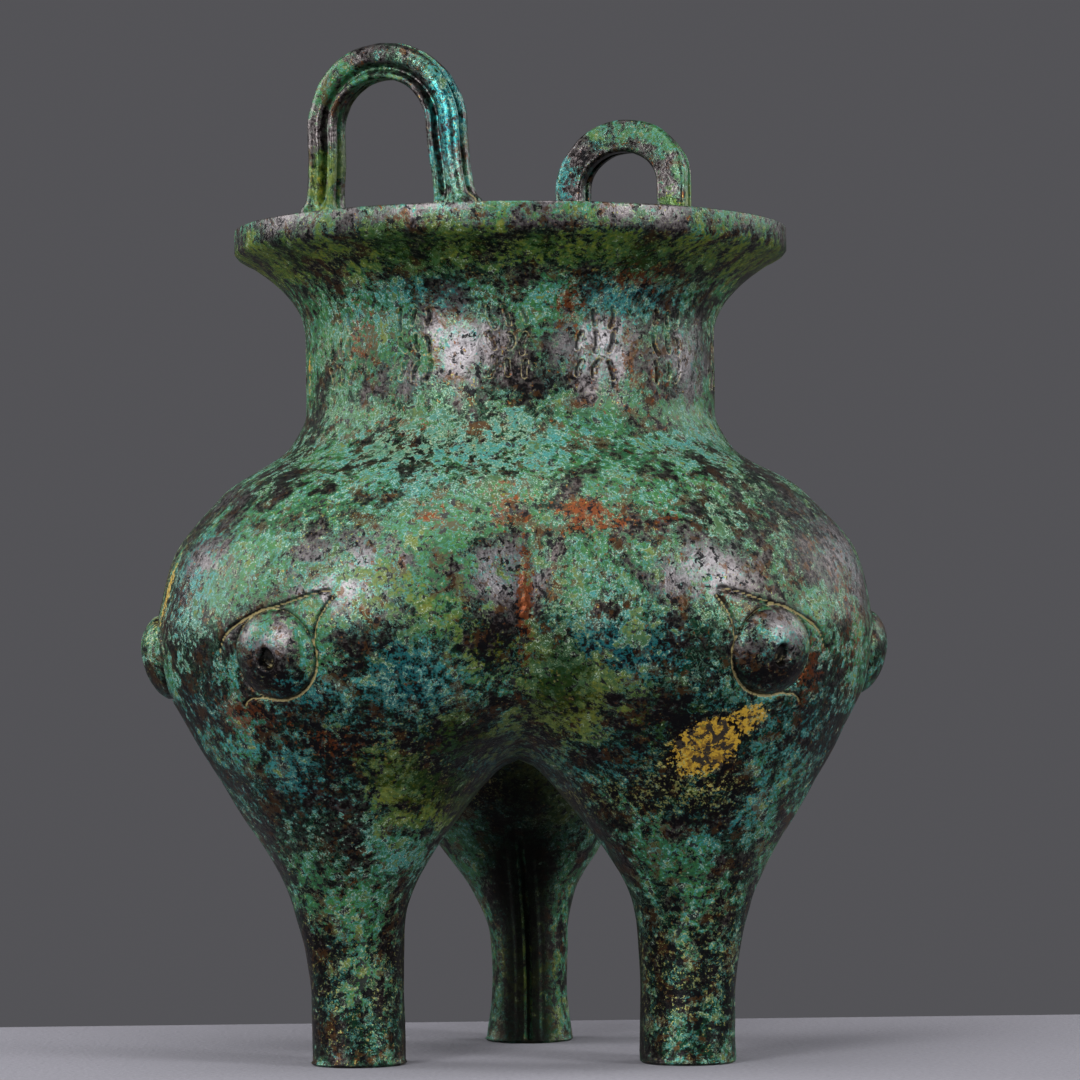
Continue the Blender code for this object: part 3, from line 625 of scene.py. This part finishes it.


# Patina: areas of each colour on the front as bearing in degrees, height, half width and half height in
# millimetres, and strength; they come again, turned, on the sides that the front hides. Some are painted
# highlight and shade.
PATCHES = {
    "turquoise": [
        (-5, 129, 30, 8, 1.0), (-29, 127, 22, 8, 0.9), (47, 128, 22, 7, 0.8), (-38, 108, 16, 10, 0.5),
        (15, 92, 15, 14, 1.0), (-17, 78, 10, 9, 0.7), (-37, 43, 9, 14, 0.8), (-64, 90, 12, 14, 0.6),
        (30, 112, 16, 7, 0.6), (0, 159, 20, 4, 0.6), (-42, 158, 14, 6, 0.6), (60, 84, 10, 12, 0.6),
        (-12, 200, 5, 6, 0.9), (-11, 182, 6, 8, 1.0), (-49, 200, 4, 7, 0.5), (90, 125, 40, 8, 0.7),
    ],
    "olive": [
        (0, 168, 900, 5, 0.75), (8, 169, 14, 5, 0.3), (9, 79, 11, 12, 1.1), (-27, 58, 9, 10, 1.0),
        (-14, 70, 8, 8, 0.7), (5, 92, 6, 14, 0.5), (172, 20, 8, 20, 0.5), (20, 75, 10, 8, 0.6),
        (-44, 185, 5, 8, 0.8), (-8, 88, 14, 10, 0.5), (-20, 95, 14, 12, 0.4), (22, 92, 10, 12, 0.4),
    ],
    "teal": [
        (0, 68, 900, 20, 0.50), (0, 18, 900, 24, 0.35),
        (15, 86, 16, 10, 1.0), (-20, 80, 13, 10, 0.9), (-45, 62, 14, 10, 0.7), (45, 55, 12, 12, 0.6),
        (-60, 75, 12, 10, 0.6), (-62, 96, 12, 16, 0.5), (-24, 120, 14, 6, 0.4), (-37, 43, 9, 12, 0.5),
        (-14, 196, 5, 14, 0.9), (-38, 78, 12, 6, 0.7), (-12, 62, 8, 8, 0.7), (30, 160, 16, 5, 0.7),
        (-30, 160, 16, 5, 0.5),
    ],
    # Darker patina, and painted shade under the lip and on the lower half of each eyeball; the wide bands
    # darken the lower belly and the legs all round
    "dark_and_shade": [
        (0, 66, 900, 15, 0.30), (0, 18, 900, 24, 0.25),
        (0, 170, 900, 4, 0.10), (-6, 87, 7, 8, 0.6), (31, 70, 12, 8, 0.9), (-15, 68, 12, 6, 0.7),
        (-36, 68, 12, 8, 0.6), (5, 141, 10, 4, 0.5), (-60, 18, 16, 20, 0.6), (50, 15, 16, 15, 0.6),
        (37, 57, 10, 7, 0.8), (60, 110, 20, 10, 0.4), (-22, 197, 6, 8, 0.8), (24, 88, 9, 9, 0.2),
        (-28, 85, 7, 7, 0.4), (-41, 81, 8, 4, 0.8), (41, 81, 8, 4, 0.9), (36, 67, 9, 9, 0.9),
    ],
    "rust": [
        (-4.5, 116, 3, 5, 1.0), (12, 113, 8, 4, 1.0), (-17, 114, 3, 2.5, 0.9), (-50, 74, 8, 4, 0.9),
        (-36, 68, 8, 4, 0.7), (0, 96, 1.7, 15, 1.3), (31, 163, 9, 3, 0.9), (49, 82, 5, 9, 0.8),
        (25, 113, 4, 3, 0.6), (-48, 152, 6, 8, 0.6), (38, 142, 9, 5, 0.5), (-33, 134, 10, 4, 0.4),
        (13, 158, 4, 5, 0.8), (60, 92, 7, 16, 0.6),
    ],
    "mustard": [
        (35, 66.5, 6.5, 6.5, 1.0), (40, 72, 6, 4, 0.65), (38, 58, 8, 4, 0.4), (-39, 102, 2.5, 3, 0.40),
        (-71, 99, 3, 10, 0.6), (-78, 147, 3, 7, 0.5), (22, 147, 8, 3, 0.3), (-12, 141, 5, 3, 0.25),
        (62, 60, 5, 10, 0.3), (-45, 183, 2, 5, 0.4), (-24, 148, 4, 4, 0.35),
    ],
    "straw": [
        (35, 57, 14, 5, 1.0), (29, 62, 5, 8, 0.7), (52, 20, 14, 18, 0.6), (-56, 18, 14, 18, 0.5),
        (0, 168, 900, 5, 0.5), (7, 76, 10, 14, 0.5), (-25, 62, 8, 12, 0.6), (-76, 100, 10, 18, 0.8),
        (-36, 112, 12, 8, 0.4),
    ],
    # Lighter worn metal; most of these areas are painted highlights where the lamps' reflections fall: on
    # the shoulders, at the front crease, on the neck, down the left side and on the top of each eyeball
    "highlight_and_wear": [
        (-30, 102, 17, 9, 0.9), (-4, 102, 8, 6, 1.2), (29, 102, 12, 7, 1.0), (66, 105, 14, 12, 1.0),
        (-16, 150, 10, 9, 1.0), (22, 148, 12, 9, 1.0), (56, 147, 12, 9, 1.0), (-60, 106, 14, 8, 0.7),
        (-70, 120, 14, 6, 0.5), (0, 175, 900, 3, 0.8), (-32, 209, 14, 4, 1.0),
        (-30, 143, 12, 6, 0.6), (-41, 89, 8, 5, 0.9), (41, 89, 8, 5, 0.9),
    ],
}


def paint_areas(piece, dust, recess_shade, handled, in_sight):
    """Stores at the piece's points the strength of each patina colour, painted highlight and shade among
    them, dust, painted shade in its lines, painted shade under and between the legs, and wear.
    """
    count = len(piece.data.vertices)
    places = np.zeros(count * 3)
    piece.data.vertices.foreach_get("co", places)
    x, y, z = (places.reshape(-1, 3) - np.array([0, AXIS_Y, 0])).T
    normals = np.zeros(count * 3)
    piece.data.vertex_normals.foreach_get("vector", normals)
    nx, ny, nz = normals.reshape(-1, 3).T
    bearing, radius = np.arctan2(x, -y), np.hypot(x, y)
    # Painted shade: faces that turn inward between the legs, and faces that look down under the body, are
    # blackened below the belly
    inward = -(nx * x + ny * y) / np.maximum(radius, 0.001)
    underside_shade = np.maximum(1.7 * inward - 0.35, (-1.6 * nz - 0.5) * mound(radius, 0.050))
    underside_shade = np.clip(underside_shade, 0, 1) * np.clip((0.092 - z) / 0.020, 0, 1)
    layers = {"dust": dust, "recess_shade": recess_shade, "underside_shade": underside_shade, "handled": np.full(count, handled)}
    for name, patches in PATCHES.items():
        strength = np.zeros(count)
        for degrees, height, half_width, half_height, most in patches:
            for turn, share in ((0, 1.0), (180, 0.9)):
                away = (bearing - math.radians(degrees + turn) + math.pi) % (2 * math.pi) - math.pi
                u = away * radius / (half_width * 0.001)
                v = (z - height * 0.001) / (half_height * 0.001)
                strength = np.maximum(strength, most * share * np.exp(-(u * u + v * v)))
        strength *= in_sight
        layers[name] = strength
    for name, values in layers.items():
        piece.data.attributes.new(name, "FLOAT", "POINT").data.foreach_set("value", values)


def patina():
    """Dark bronze under films of green, teal and olive, a ragged sea-green crust, rust, flecks and dust,
    with painted highlights and painted shade.
    """
    material = bpy.data.materials.new("patinated_bronze")
    material.use_nodes = True
    graph = material.node_tree
    shader = graph.nodes["Principled BSDF"]
    place = graph.nodes.new("ShaderNodeTexCoord").outputs["Object"]

    def plug(socket, value):
        if isinstance(value, bpy.types.NodeSocket):
            graph.links.new(value, socket)
        elif isinstance(value, tuple):
            socket.default_value = (*value, 1.0)
        else:
            socket.default_value = value

    def noise(scale, detail, roughness, distortion=0.0):
        node = graph.nodes.new("ShaderNodeTexNoise")
        node.noise_dimensions = "3D"
        plug(node.inputs["Vector"], place)
        node.inputs["Scale"].default_value = scale
        node.inputs["Detail"].default_value = detail
        node.inputs["Roughness"].default_value = roughness
        node.inputs["Distortion"].default_value = distortion
        return node.outputs["Fac"]

    def work(operation, first, second=0.0, third=0.0):
        node = graph.nodes.new("ShaderNodeMath")
        node.operation = operation
        for socket, value in zip(node.inputs, (first, second, third)):
            plug(socket, value)
        return node.outputs[0]

    def plus(*terms):
        """Sum of sockets, each with its weight."""
        total = 0.0
        for socket, weight in terms:
            total = work("MULTIPLY_ADD", socket, weight, total)
        return total

    def step(value, low, high):
        node = graph.nodes.new("ShaderNodeMapRange")
        node.interpolation_type = "SMOOTHSTEP"
        plug(node.inputs["Value"], value)
        node.inputs["From Min"].default_value = low
        node.inputs["From Max"].default_value = high
        return node.outputs["Result"]

    def blend(below, above, factor):
        node = graph.nodes.new("ShaderNodeMix")
        node.data_type = "RGBA"
        for socket, value in zip((node.inputs[0], node.inputs[6], node.inputs[7]), (factor, below, above)):
            plug(socket, value)
        return node.outputs[2]

    def area(name):
        node = graph.nodes.new("ShaderNodeAttribute")
        node.attribute_name = name
        return node.outputs["Fac"]

    turquoise, olive, teal, dark_and_shade = area("turquoise"), area("olive"), area("teal"), area("dark_and_shade")
    rust, mustard, highlight_and_wear = area("rust"), area("mustard"), area("highlight_and_wear")
    straw, dust, recess_shade, underside_shade = area("straw"), area("dust"), area("recess_shade"), area("underside_shade")
    handled = area("handled")
    broad = noise(48, 2, 0.5)
    blotch = noise(130, 4, 0.62, 0.3)
    flake = noise(440, 4, 0.68, 0.25)
    speck = noise(1050, 3, 0.68)
    grain = noise(2600, 1, 0.6)

    metal_shade = step(plus((flake, 0.4), (speck, 0.6), (highlight_and_wear, 0.14), (dark_and_shade, -0.10)), 0.42, 0.66)
    # Lighter lilac-grey metal where worn, and a painted highlight where the lamps' reflections fall
    worn_or_highlit_metal = blend((0.110, 0.088, 0.085), (0.175, 0.166, 0.175), highlight_and_wear)
    metal = blend((0.006, 0.004, 0.004), worn_or_highlit_metal, metal_shade)
    stain = step(plus((blotch, 0.5), (speck, 0.5), (dark_and_shade, -0.08), (highlight_and_wear, -0.09)), 0.40, 0.56)
    colour = blend(metal, (0.003, 0.036, 0.016), work("MULTIPLY", stain, 0.9))
    film_level = plus((broad, 0.25), (blotch, 0.35), (flake, 0.4), (turquoise, 0.02), (dark_and_shade, -0.14),
                      (highlight_and_wear, -0.07))
    film = step(film_level, 0.475, 0.515)
    film_shade = step(plus((blotch, 0.5), (speck, 0.5)), 0.4, 0.6)
    film_colour = blend((0.006, 0.060, 0.022), (0.030, 0.122, 0.026), film_shade)
    colour = blend(colour, film_colour, work("MULTIPLY", film, 0.92))
    teal_level = plus((blotch, 0.3), (flake, 0.4), (speck, 0.3), (teal, 0.13), (dark_and_shade, -0.08))
    teal_film = step(teal_level, 0.545, 0.580)
    teal_colour = blend((0.005, 0.060, 0.080), (0.016, 0.150, 0.150), step(speck, 0.42, 0.58))
    colour = blend(colour, teal_colour, work("MULTIPLY", teal_film, 0.9))
    earth_level = plus((noise(240, 4, 0.66, 0.2), 1.0), (rust, 0.05), (highlight_and_wear, -0.02), (turquoise, 0.01),
                       (handled, -0.06))
    earth_film = step(earth_level, 0.555, 0.585)
    colour = blend(colour, (0.055, 0.025, 0.008), work("MULTIPLY", earth_film, 0.7))

    crust_level = plus((flake, 0.50), (speck, 0.20), (blotch, 0.30), (turquoise, 0.070), (dark_and_shade, -0.08),
                       (olive, -0.05), (highlight_and_wear, -0.055), (handled, -0.020))
    crust = step(crust_level, 0.553, 0.572)
    hue = step(plus((broad, 0.5), (flake, 0.5), (teal, 0.12)), 0.42, 0.54)
    crust_colour = blend((0.088, 0.160, 0.078), (0.028, 0.176, 0.168), hue)
    crust_colour = blend(crust_colour, (0.008, 0.150, 0.165), work("MULTIPLY", teal, 0.8))
    crust_colour = blend(crust_colour, (0.026, 0.100, 0.060), step(grain, 0.62, 0.38))
    colour = blend(colour, crust_colour, crust)
    web = step(work("ABSOLUTE", work("SUBTRACT", noise(470, 4, 0.62, 0.4), 0.5)), 0.026, 0.010)
    web = work("MULTIPLY", web, step(plus((blotch, 1.0), (turquoise, 0.06), (dark_and_shade, -0.06)), 0.42, 0.56))
    web_colour = blend((0.100, 0.180, 0.120), (0.045, 0.170, 0.160), hue)
    colour = blend(colour, web_colour, work("MULTIPLY", web, 0.75))
    rust_film = step(plus((flake, -0.35), (speck, 0.65), (rust, 0.16)), 0.245, 0.285)
    colour = blend(colour, (0.100, 0.026, 0.007), work("MULTIPLY", rust_film, 0.9))
    mustard_film = step(plus((speck, 0.45), (flake, 0.30), (mustard, 0.40)), 0.545, 0.575)
    mustard_colour = blend((0.130, 0.070, 0.006), (0.330, 0.200, 0.014), step(speck, 0.42, 0.56))
    colour = blend(colour, mustard_colour, mustard_film)
    straw_film = step(plus((speck, 0.65), (grain, 0.35), (straw, 0.15)), 0.635, 0.670)
    colour = blend(colour, (0.240, 0.245, 0.080), work("MULTIPLY", straw_film, 0.8))
    olive_film = step(plus((blotch, 0.5), (flake, 0.5), (olive, 0.17)), 0.565, 0.625)
    olive_shade = step(plus((broad, 0.5), (speck, 0.5)), 0.42, 0.60)
    olive_colour = blend((0.018, 0.050, 0.006), (0.100, 0.115, 0.004), olive_shade)
    colour = blend(colour, olive_colour, work("MULTIPLY", olive_film, 0.85))
    fleck = step(plus((noise(560, 4, 0.66, 0.3), 1.0), (dark_and_shade, 0.10), (handled, -0.06)), 0.585, 0.605)
    colour = blend(colour, (0.004, 0.004, 0.005), work("MULTIPLY", fleck, 0.95))
    crust_edge = step(work("ABSOLUTE", work("SUBTRACT", crust_level, 0.564)), 0.010, 0.002)
    film_edge = step(work("ABSOLUTE", work("SUBTRACT", film_level, 0.485)), 0.007, 0.001)
    broken = step(grain, 0.40, 0.56)
    crust_vein = work("MULTIPLY", crust_edge, work("MULTIPLY", broken, 0.85))
    colour = blend(colour, (0.290, 0.370, 0.280), crust_vein)
    film_vein = work("MULTIPLY", film_edge, work("MULTIPLY", broken, 0.70))
    colour = blend(colour, (0.190, 0.260, 0.150), film_vein)
    # Painted shade in the grooves, just above the eye lines and in the pupils
    colour = blend(colour, (0.006, 0.006, 0.005), work("MULTIPLY", recess_shade, 0.9))
    # Painted shade under the body and between the legs, broken up by the flakes; it is also rougher and
    # less shiny there
    underside_shade_mask = work("MULTIPLY", underside_shade, step(plus((flake, 1.0), (underside_shade, -0.35)), 0.56, 0.26))
    colour = blend(colour, (0.004, 0.004, 0.003), work("MULTIPLY", underside_shade_mask, 0.94))
    dust_film = step(plus((dust, 0.8), (speck, 0.6)), 0.74, 0.98)
    colour = blend(colour, (0.270, 0.220, 0.095), work("MULTIPLY", dust_film, 0.85))
    graph.links.new(colour, shader.inputs["Base Color"])

    earth = work("MAXIMUM", crust, work("MAXIMUM", mustard_film, dust_film))
    earth = work("MAXIMUM", earth, underside_shade_mask)
    metallic = work("MULTIPLY", work("SUBTRACT", 1.0, earth), work("MULTIPLY_ADD", film, -0.75, 0.85))
    graph.links.new(metallic, shader.inputs["Metallic"])
    roughness = plus((earth, 0.16), (speck, 0.18), (film, 0.05), (underside_shade_mask, 0.20), (handled, -0.10))
    graph.links.new(work("ADD", roughness, 0.33), shader.inputs["Roughness"])
    graph.links.new(work("MULTIPLY_ADD", underside_shade_mask, -0.22, 0.3), shader.inputs["Specular IOR Level"])
    height = plus((flake, 0.9), (speck, 0.8))
    bump = graph.nodes.new("ShaderNodeBump")
    bump.inputs["Strength"].default_value = 0.5
    bump.inputs["Distance"].default_value = 0.0003
    graph.links.new(height, bump.inputs["Height"])
    graph.links.new(bump.outputs["Normal"], shader.inputs["Normal"])
    return material


body = cast_body()
finish_mesh(body, BODY_TRIANGLES)
body_places = np.zeros(len(body.data.vertices) * 3)
body.data.vertices.foreach_get("co", body_places)
straight = turn_legs(body_places.reshape(-1, 3) - np.array([0, AXIS_Y, 0]), back=True)
outside_only = skin(straight) > -WALL / 2
outside_only |= straight[:, 2] > ROUND_FROM
_, dust_amount, recess_shade_amount = relief(straight)
in_sight = np.where(outside_only, 1.0, 0.3)
paint_areas(body, dust_amount * outside_only, recess_shade_amount * outside_only, 0.0, in_sight)
bronze = patina()
body.data.materials.append(bronze)
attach(body, "root")
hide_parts("vessel")

# The handles: two loops cast with the rim, square to a slanting line across it. A broad roll runs
# round the outside of each, a thin bead round the inside, and grooves along the edge and the reveal.
HANDLES = {
    "handle_front": (math.radians(-29.6), 0.0338, 0.0388, 0.0358, 0.0163),
    "handle_back": (math.radians(149.8), 0.0308, 0.0352, 0.0332, 0.0150),
}
BAND = 0.0072
CROWN_BAND = 0.0080
THICKNESS = 0.0066
LEAN = math.radians(4.5)
FILLET = 0.0013
ROOT = 0.0040
GROOVE_FADE, FILLET_FADE = 0.0032, 0.0010
HANDLE_TRIANGLES = 90000


def handle_section(grooved):
    """Outline of the band: shares of its width toward the outer edge, and toward the front."""
    face = THICKNESS / 2
    sink = 1.0 if grooved else 0.0
    outline = [(-0.50, 0.70), (-0.46, 0.96), (-0.38, 1.00), (-0.30, 0.96 - 0.20 * sink)]
    outline += [(-0.25, 0.98 - 0.58 * sink), (-0.15, 0.99 - 0.58 * sink), (-0.08, 1.00 - 0.18 * sink)]
    outline += [(0.02, 1.00), (0.20, 0.99), (0.34, 0.86), (0.42, 0.62), (0.45, 0.36)]
    outline += [(0.46 - 0.14 * sink, 0.20), (0.47 - 0.14 * sink, -0.02), (0.49, -0.16), (0.50, -0.42)]
    outline += [(0.47, -0.76), (0.38, -0.94), (0.20, -1.00), (-0.10, -1.00), (-0.36, -1.00)]
    outline += [(-0.47, -0.88), (-0.50, -0.62), (-0.50, -0.16), (-0.50 + 0.12 * sink, 0.06)]
    outline += [(-0.50 + 0.12 * sink, 0.24), (-0.50, 0.42)]
    outline = np.array(outline) * (1, face)
    rounded = []
    count = len(outline)
    for k in range(count):
        before, this, after, beyond = (outline[(k + shift) % count] for shift in (-1, 0, 1, 2))
        for t in np.arange(5) / 5:
            start, end = 0.45 * (after - before), 0.45 * (beyond - this)
            rounded.append(
                (2 * t ** 3 - 3 * t ** 2 + 1) * this + (t ** 3 - 2 * t ** 2 + t) * start
                + (3 * t ** 2 - 2 * t ** 3) * after + (t ** 3 - t ** 2) * end
            )
    return np.clip(np.array(rounded), (-0.5, -face), (0.5, face))


def handle_path(height, foot_width, spring_width, spring_height):
    """Middle line of a loop across and up from the rim, the directions square to it, and its band."""
    foot_half, spring_half = (foot_width - BAND) / 2, (spring_width - BAND) / 2
    rise = height - CROWN_BAND / 2 - spring_height
    levels = np.concatenate([[-ROOT, -ROOT / 2], np.linspace(0, 0.97, 26) * spring_height])
    share = levels / spring_height
    side = np.stack([foot_half + (spring_half - foot_half) * share * (2 - share), levels], axis=1)
    turns = np.linspace(0, math.pi, 97)
    arch = np.stack([spring_half * np.cos(turns), spring_height + rise * np.sin(turns)], axis=1)
    line = np.concatenate([side, arch, side[::-1] * (-1, 1)])
    tangents = np.gradient(line, axis=0)
    tangents /= np.linalg.norm(tangents, axis=1)[:, None]
    outward = np.stack([tangents[:, 1], -tangents[:, 0]], axis=1)
    bands = np.full(len(line), BAND)
    bands[len(side):-len(side)] += (CROWN_BAND - BAND) * np.sin(turns) ** 2
    bands += 2 * FILLET * np.exp(-np.clip(line[:, 1], 0, 1) / FILLET_FADE)
    return line, outward, bands


def cast_handle(name, bearing, height, foot_width, spring_width, spring_height):
    line, outward, bands = handle_path(height, foot_width, spring_width, spring_height)
    grooved, plain = handle_section(True), handle_section(False)
    foot = np.clip(line[:, 1] / GROOVE_FADE, 0, 1)[:, None, None]
    section = plain + (grooved - plain) * foot * foot * (3 - 2 * foot)
    seat = math.sqrt(RIM_RADIUS ** 2 - ((foot_width - BAND) / 2) ** 2) - THICKNESS / 2 - LIP_EDGE
    out, side = toward(np.array(bearing)), toward(np.array(bearing + math.pi / 2))
    across = line[:, None, 0] + outward[:, None, 0] * section[..., 0] * bands[:, None]
    upward = line[:, None, 1] + outward[:, None, 1] * section[..., 0] * bands[:, None]
    ahead = seat + section[..., 1] + math.tan(LEAN) * np.clip(upward, 0, 1)
    rows = out * ahead[..., None] + side * across[..., None]
    rows[..., 2] += RIM_HEIGHT + upward
    radius = np.hypot(rows[..., 0], rows[..., 1])
    most = RIM_RADIUS - LIP_EDGE + 0.7 * np.clip(upward, 0, 1)
    rows[..., :2] *= np.minimum(1, most / radius)[..., None]
    wear = lumps(rows.reshape(-1, 3) * 2.2).reshape(upward.shape)
    centre_ahead = seat + math.tan(LEAN) * np.clip(line[:, None, 1, None], 0, 1)
    centre = out * centre_ahead + side * line[:, None, 0, None]
    centre[..., 2] += RIM_HEIGHT + line[:, None, 1]
    inward = rows - centre
    rows += inward / np.linalg.norm(inward, axis=-1)[..., None] * 0.6 * wear[..., None]
    surface = Surface()
    index = surface.add(rows)
    surface.join(index)
    surface.fan(index[0], centre[0, 0])
    surface.fan(index[-1][::-1], centre[-1, 0])
    points = np.concatenate(surface.points) + np.array([0, AXIS_Y, 0])
    points = np.clip(points, np.array(cad_low), np.array(cad_high))
    data = bpy.data.meshes.new(name)
    faces = np.concatenate(surface.quads).tolist() + np.concatenate(surface.fans).tolist()
    data.from_pydata(points.tolist(), [], faces)
    shape = bmesh.new()
    shape.from_mesh(data)
    bmesh.ops.recalc_face_normals(shape, faces=shape.faces)
    shape.to_mesh(data)
    shape.free()
    handle = bpy.data.objects.new(name, data)
    bpy.context.scene.collection.objects.link(handle)
    finish_mesh(handle, HANDLE_TRIANGLES)
    sunk = np.linalg.norm((grooved - plain) / (BAND, 1), axis=1)
    sunk = sunk / sunk.max() * np.ones(index.shape)
    sunk = np.concatenate([sunk.ravel(), np.zeros(2)])
    # Dust in the handle's grooves, and painted shade in them
    paint_areas(handle, 0.80 * sunk, 0.15 * sunk, 1.0, 1.0)
    worn = handle.data.attributes["highlight_and_wear"].data
    worn.foreach_set("value", np.where(sunk > 0.1, 0.0, 0.35))
    return handle


for name, sizes in HANDLES.items():
    handle = cast_handle(name, *sizes)
    handle.data.materials.append(bronze)
    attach(handle, "root")
    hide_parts("vessel")

# The floor: a table top covered with pale grey felt, which ends close behind the vessel.
FLOOR_BACK = 0.091
FLOOR_FRONT = -1.10
FLOOR_HALF = 1.20
FLOOR_THICKNESS = 0.020
FLOOR_EDGE = 0.003
bpy.ops.object.select_all(action="DESELECT")
floor_middle = (0, (FLOOR_BACK + FLOOR_FRONT) / 2, -FLOOR_THICKNESS / 2)
bpy.ops.mesh.primitive_plane_add(size=1, location=floor_middle)
floor = bpy.context.object
floor.name = "floor"
floor.scale = (2 * FLOOR_HALF, FLOOR_BACK - FLOOR_FRONT, 1)
bpy.ops.object.transform_apply(location=True, rotation=False, scale=True)
thick = floor.modifiers.new("thick", "SOLIDIFY")
thick.thickness = FLOOR_THICKNESS
thick.offset = 0
bpy.ops.object.modifier_apply(modifier=thick.name)
soft_edge = floor.modifiers.new("soft_edge", "BEVEL")
soft_edge.width = FLOOR_EDGE
soft_edge.segments = 4
bpy.ops.object.modifier_apply(modifier=soft_edge.name)
felt = bpy.data.materials.new("pale_felt")
felt.use_nodes = True
weave = felt.node_tree.nodes.new("ShaderNodeTexNoise")
weave.inputs["Scale"].default_value = 900
weave.inputs["Detail"].default_value = 5
spot = felt.node_tree.nodes.new("ShaderNodeTexCoord")
shade = felt.node_tree.nodes.new("ShaderNodeMapRange")
tint = felt.node_tree.nodes.new("ShaderNodeMix")
tint.data_type = "RGBA"
tint.inputs[6].default_value = (0.158, 0.154, 0.177, 1)
tint.inputs[7].default_value = (0.242, 0.238, 0.264, 1)
pile = felt.node_tree.nodes.new("ShaderNodeBump")
pile.inputs["Distance"].default_value = 0.0003
felt_shader = felt.node_tree.nodes["Principled BSDF"]
felt_shader.inputs["Roughness"].default_value = 0.95
felt_shader.inputs["Specular IOR Level"].default_value = 0.1
for source, target in (
    (spot.outputs["Object"], weave.inputs["Vector"]),
    (weave.outputs["Fac"], shade.inputs["Value"]),
    (shade.outputs["Result"], tint.inputs["Factor"]),
    (tint.outputs[2], felt_shader.inputs["Base Color"]),
    (weave.outputs["Fac"], pile.inputs["Height"]),
    (pile.outputs["Normal"], felt_shader.inputs["Normal"]),
):
    felt.node_tree.links.new(source, target)
floor.data.materials.append(felt)
floor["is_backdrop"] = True

# The light: two soft boxes before the vessel, a wide one on either side, a high one over it, and a
# dim grey room.
VESSEL_MIDDLE = (0.0, 0.0, 0.10)
world = bpy.data.worlds.new("studio")
bpy.context.scene.world = world
world.use_nodes = True
world.node_tree.nodes["Background"].inputs["Color"].default_value = (0.088, 0.087, 0.095, 1)
world.node_tree.nodes["Background"].inputs["Strength"].default_value = 1.0


def soft_box(name, azimuth, elevation, distance, width, height, power):
    """Area light on a ring round the vessel, turned to its middle."""
    lamp = bpy.data.lights.new(name, "AREA")
    lamp.shape = "RECTANGLE"
    lamp.size, lamp.size_y, lamp.energy = width, height, power
    a, e = math.radians(azimuth), math.radians(elevation)
    holder = bpy.data.objects.new(name, lamp)
    away = np.array([math.sin(a) * math.cos(e), -math.cos(a) * math.cos(e), math.sin(e)])
    holder.location = np.array(VESSEL_MIDDLE) + away * distance
    holder.rotation_mode = "QUATERNION"
    holder.rotation_quaternion = mathutils.Vector(away).to_track_quat("Z", "Y")
    bpy.context.scene.collection.objects.link(holder)


soft_box("left_box", -34, 15, 0.95, 0.26, 0.44, 8.5)
soft_box("right_box", 50, 16, 0.95, 0.20, 0.42, 6.5)
soft_box("far_left_box", -100, 24, 1.00, 0.50, 0.60, 7.5)
soft_box("far_right_box", 108, 26, 1.00, 0.50, 0.60, 4.5)
soft_box("top_box", -10, 66, 0.95, 0.70, 0.60, 8.0)

# The camera: low before the vessel and a little to its left, tilted up, at the photograph's distance.
CAMERA_PLACE = (-0.0345, -0.9303, 0.0785)
CAMERA_YAW = math.radians(-2.5)
CAMERA_PITCH = 0.0345
CAMERA_ROLL = 0.0085
SENSOR_WIDTH = 36
FOCAL_LENGTH = 4300 / 1080 * SENSOR_WIDTH
camera = bpy.data.objects.new("camera", bpy.data.cameras.new("camera"))
camera.data.sensor_width = SENSOR_WIDTH
camera.data.lens = FOCAL_LENGTH
camera.location = CAMERA_PLACE
turn = mathutils.Matrix.Rotation(CAMERA_YAW, 3, "Z")
tilt = mathutils.Matrix.Rotation(math.pi / 2 + CAMERA_PITCH, 3, "X")
roll = mathutils.Matrix.Rotation(-CAMERA_ROLL, 3, "Z")
camera.rotation_mode = "QUATERNION"
camera.rotation_quaternion = (turn @ tilt @ roll).to_quaternion()
bpy.context.scene.collection.objects.link(camera)
bpy.context.scene.camera = camera
bpy.context.scene.view_settings.view_transform = "Standard"

model_low, model_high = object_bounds()
sizes = {
    "cad": [list(cad_low), list(cad_high)],
    "model": [list(model_low), list(model_high)],
}
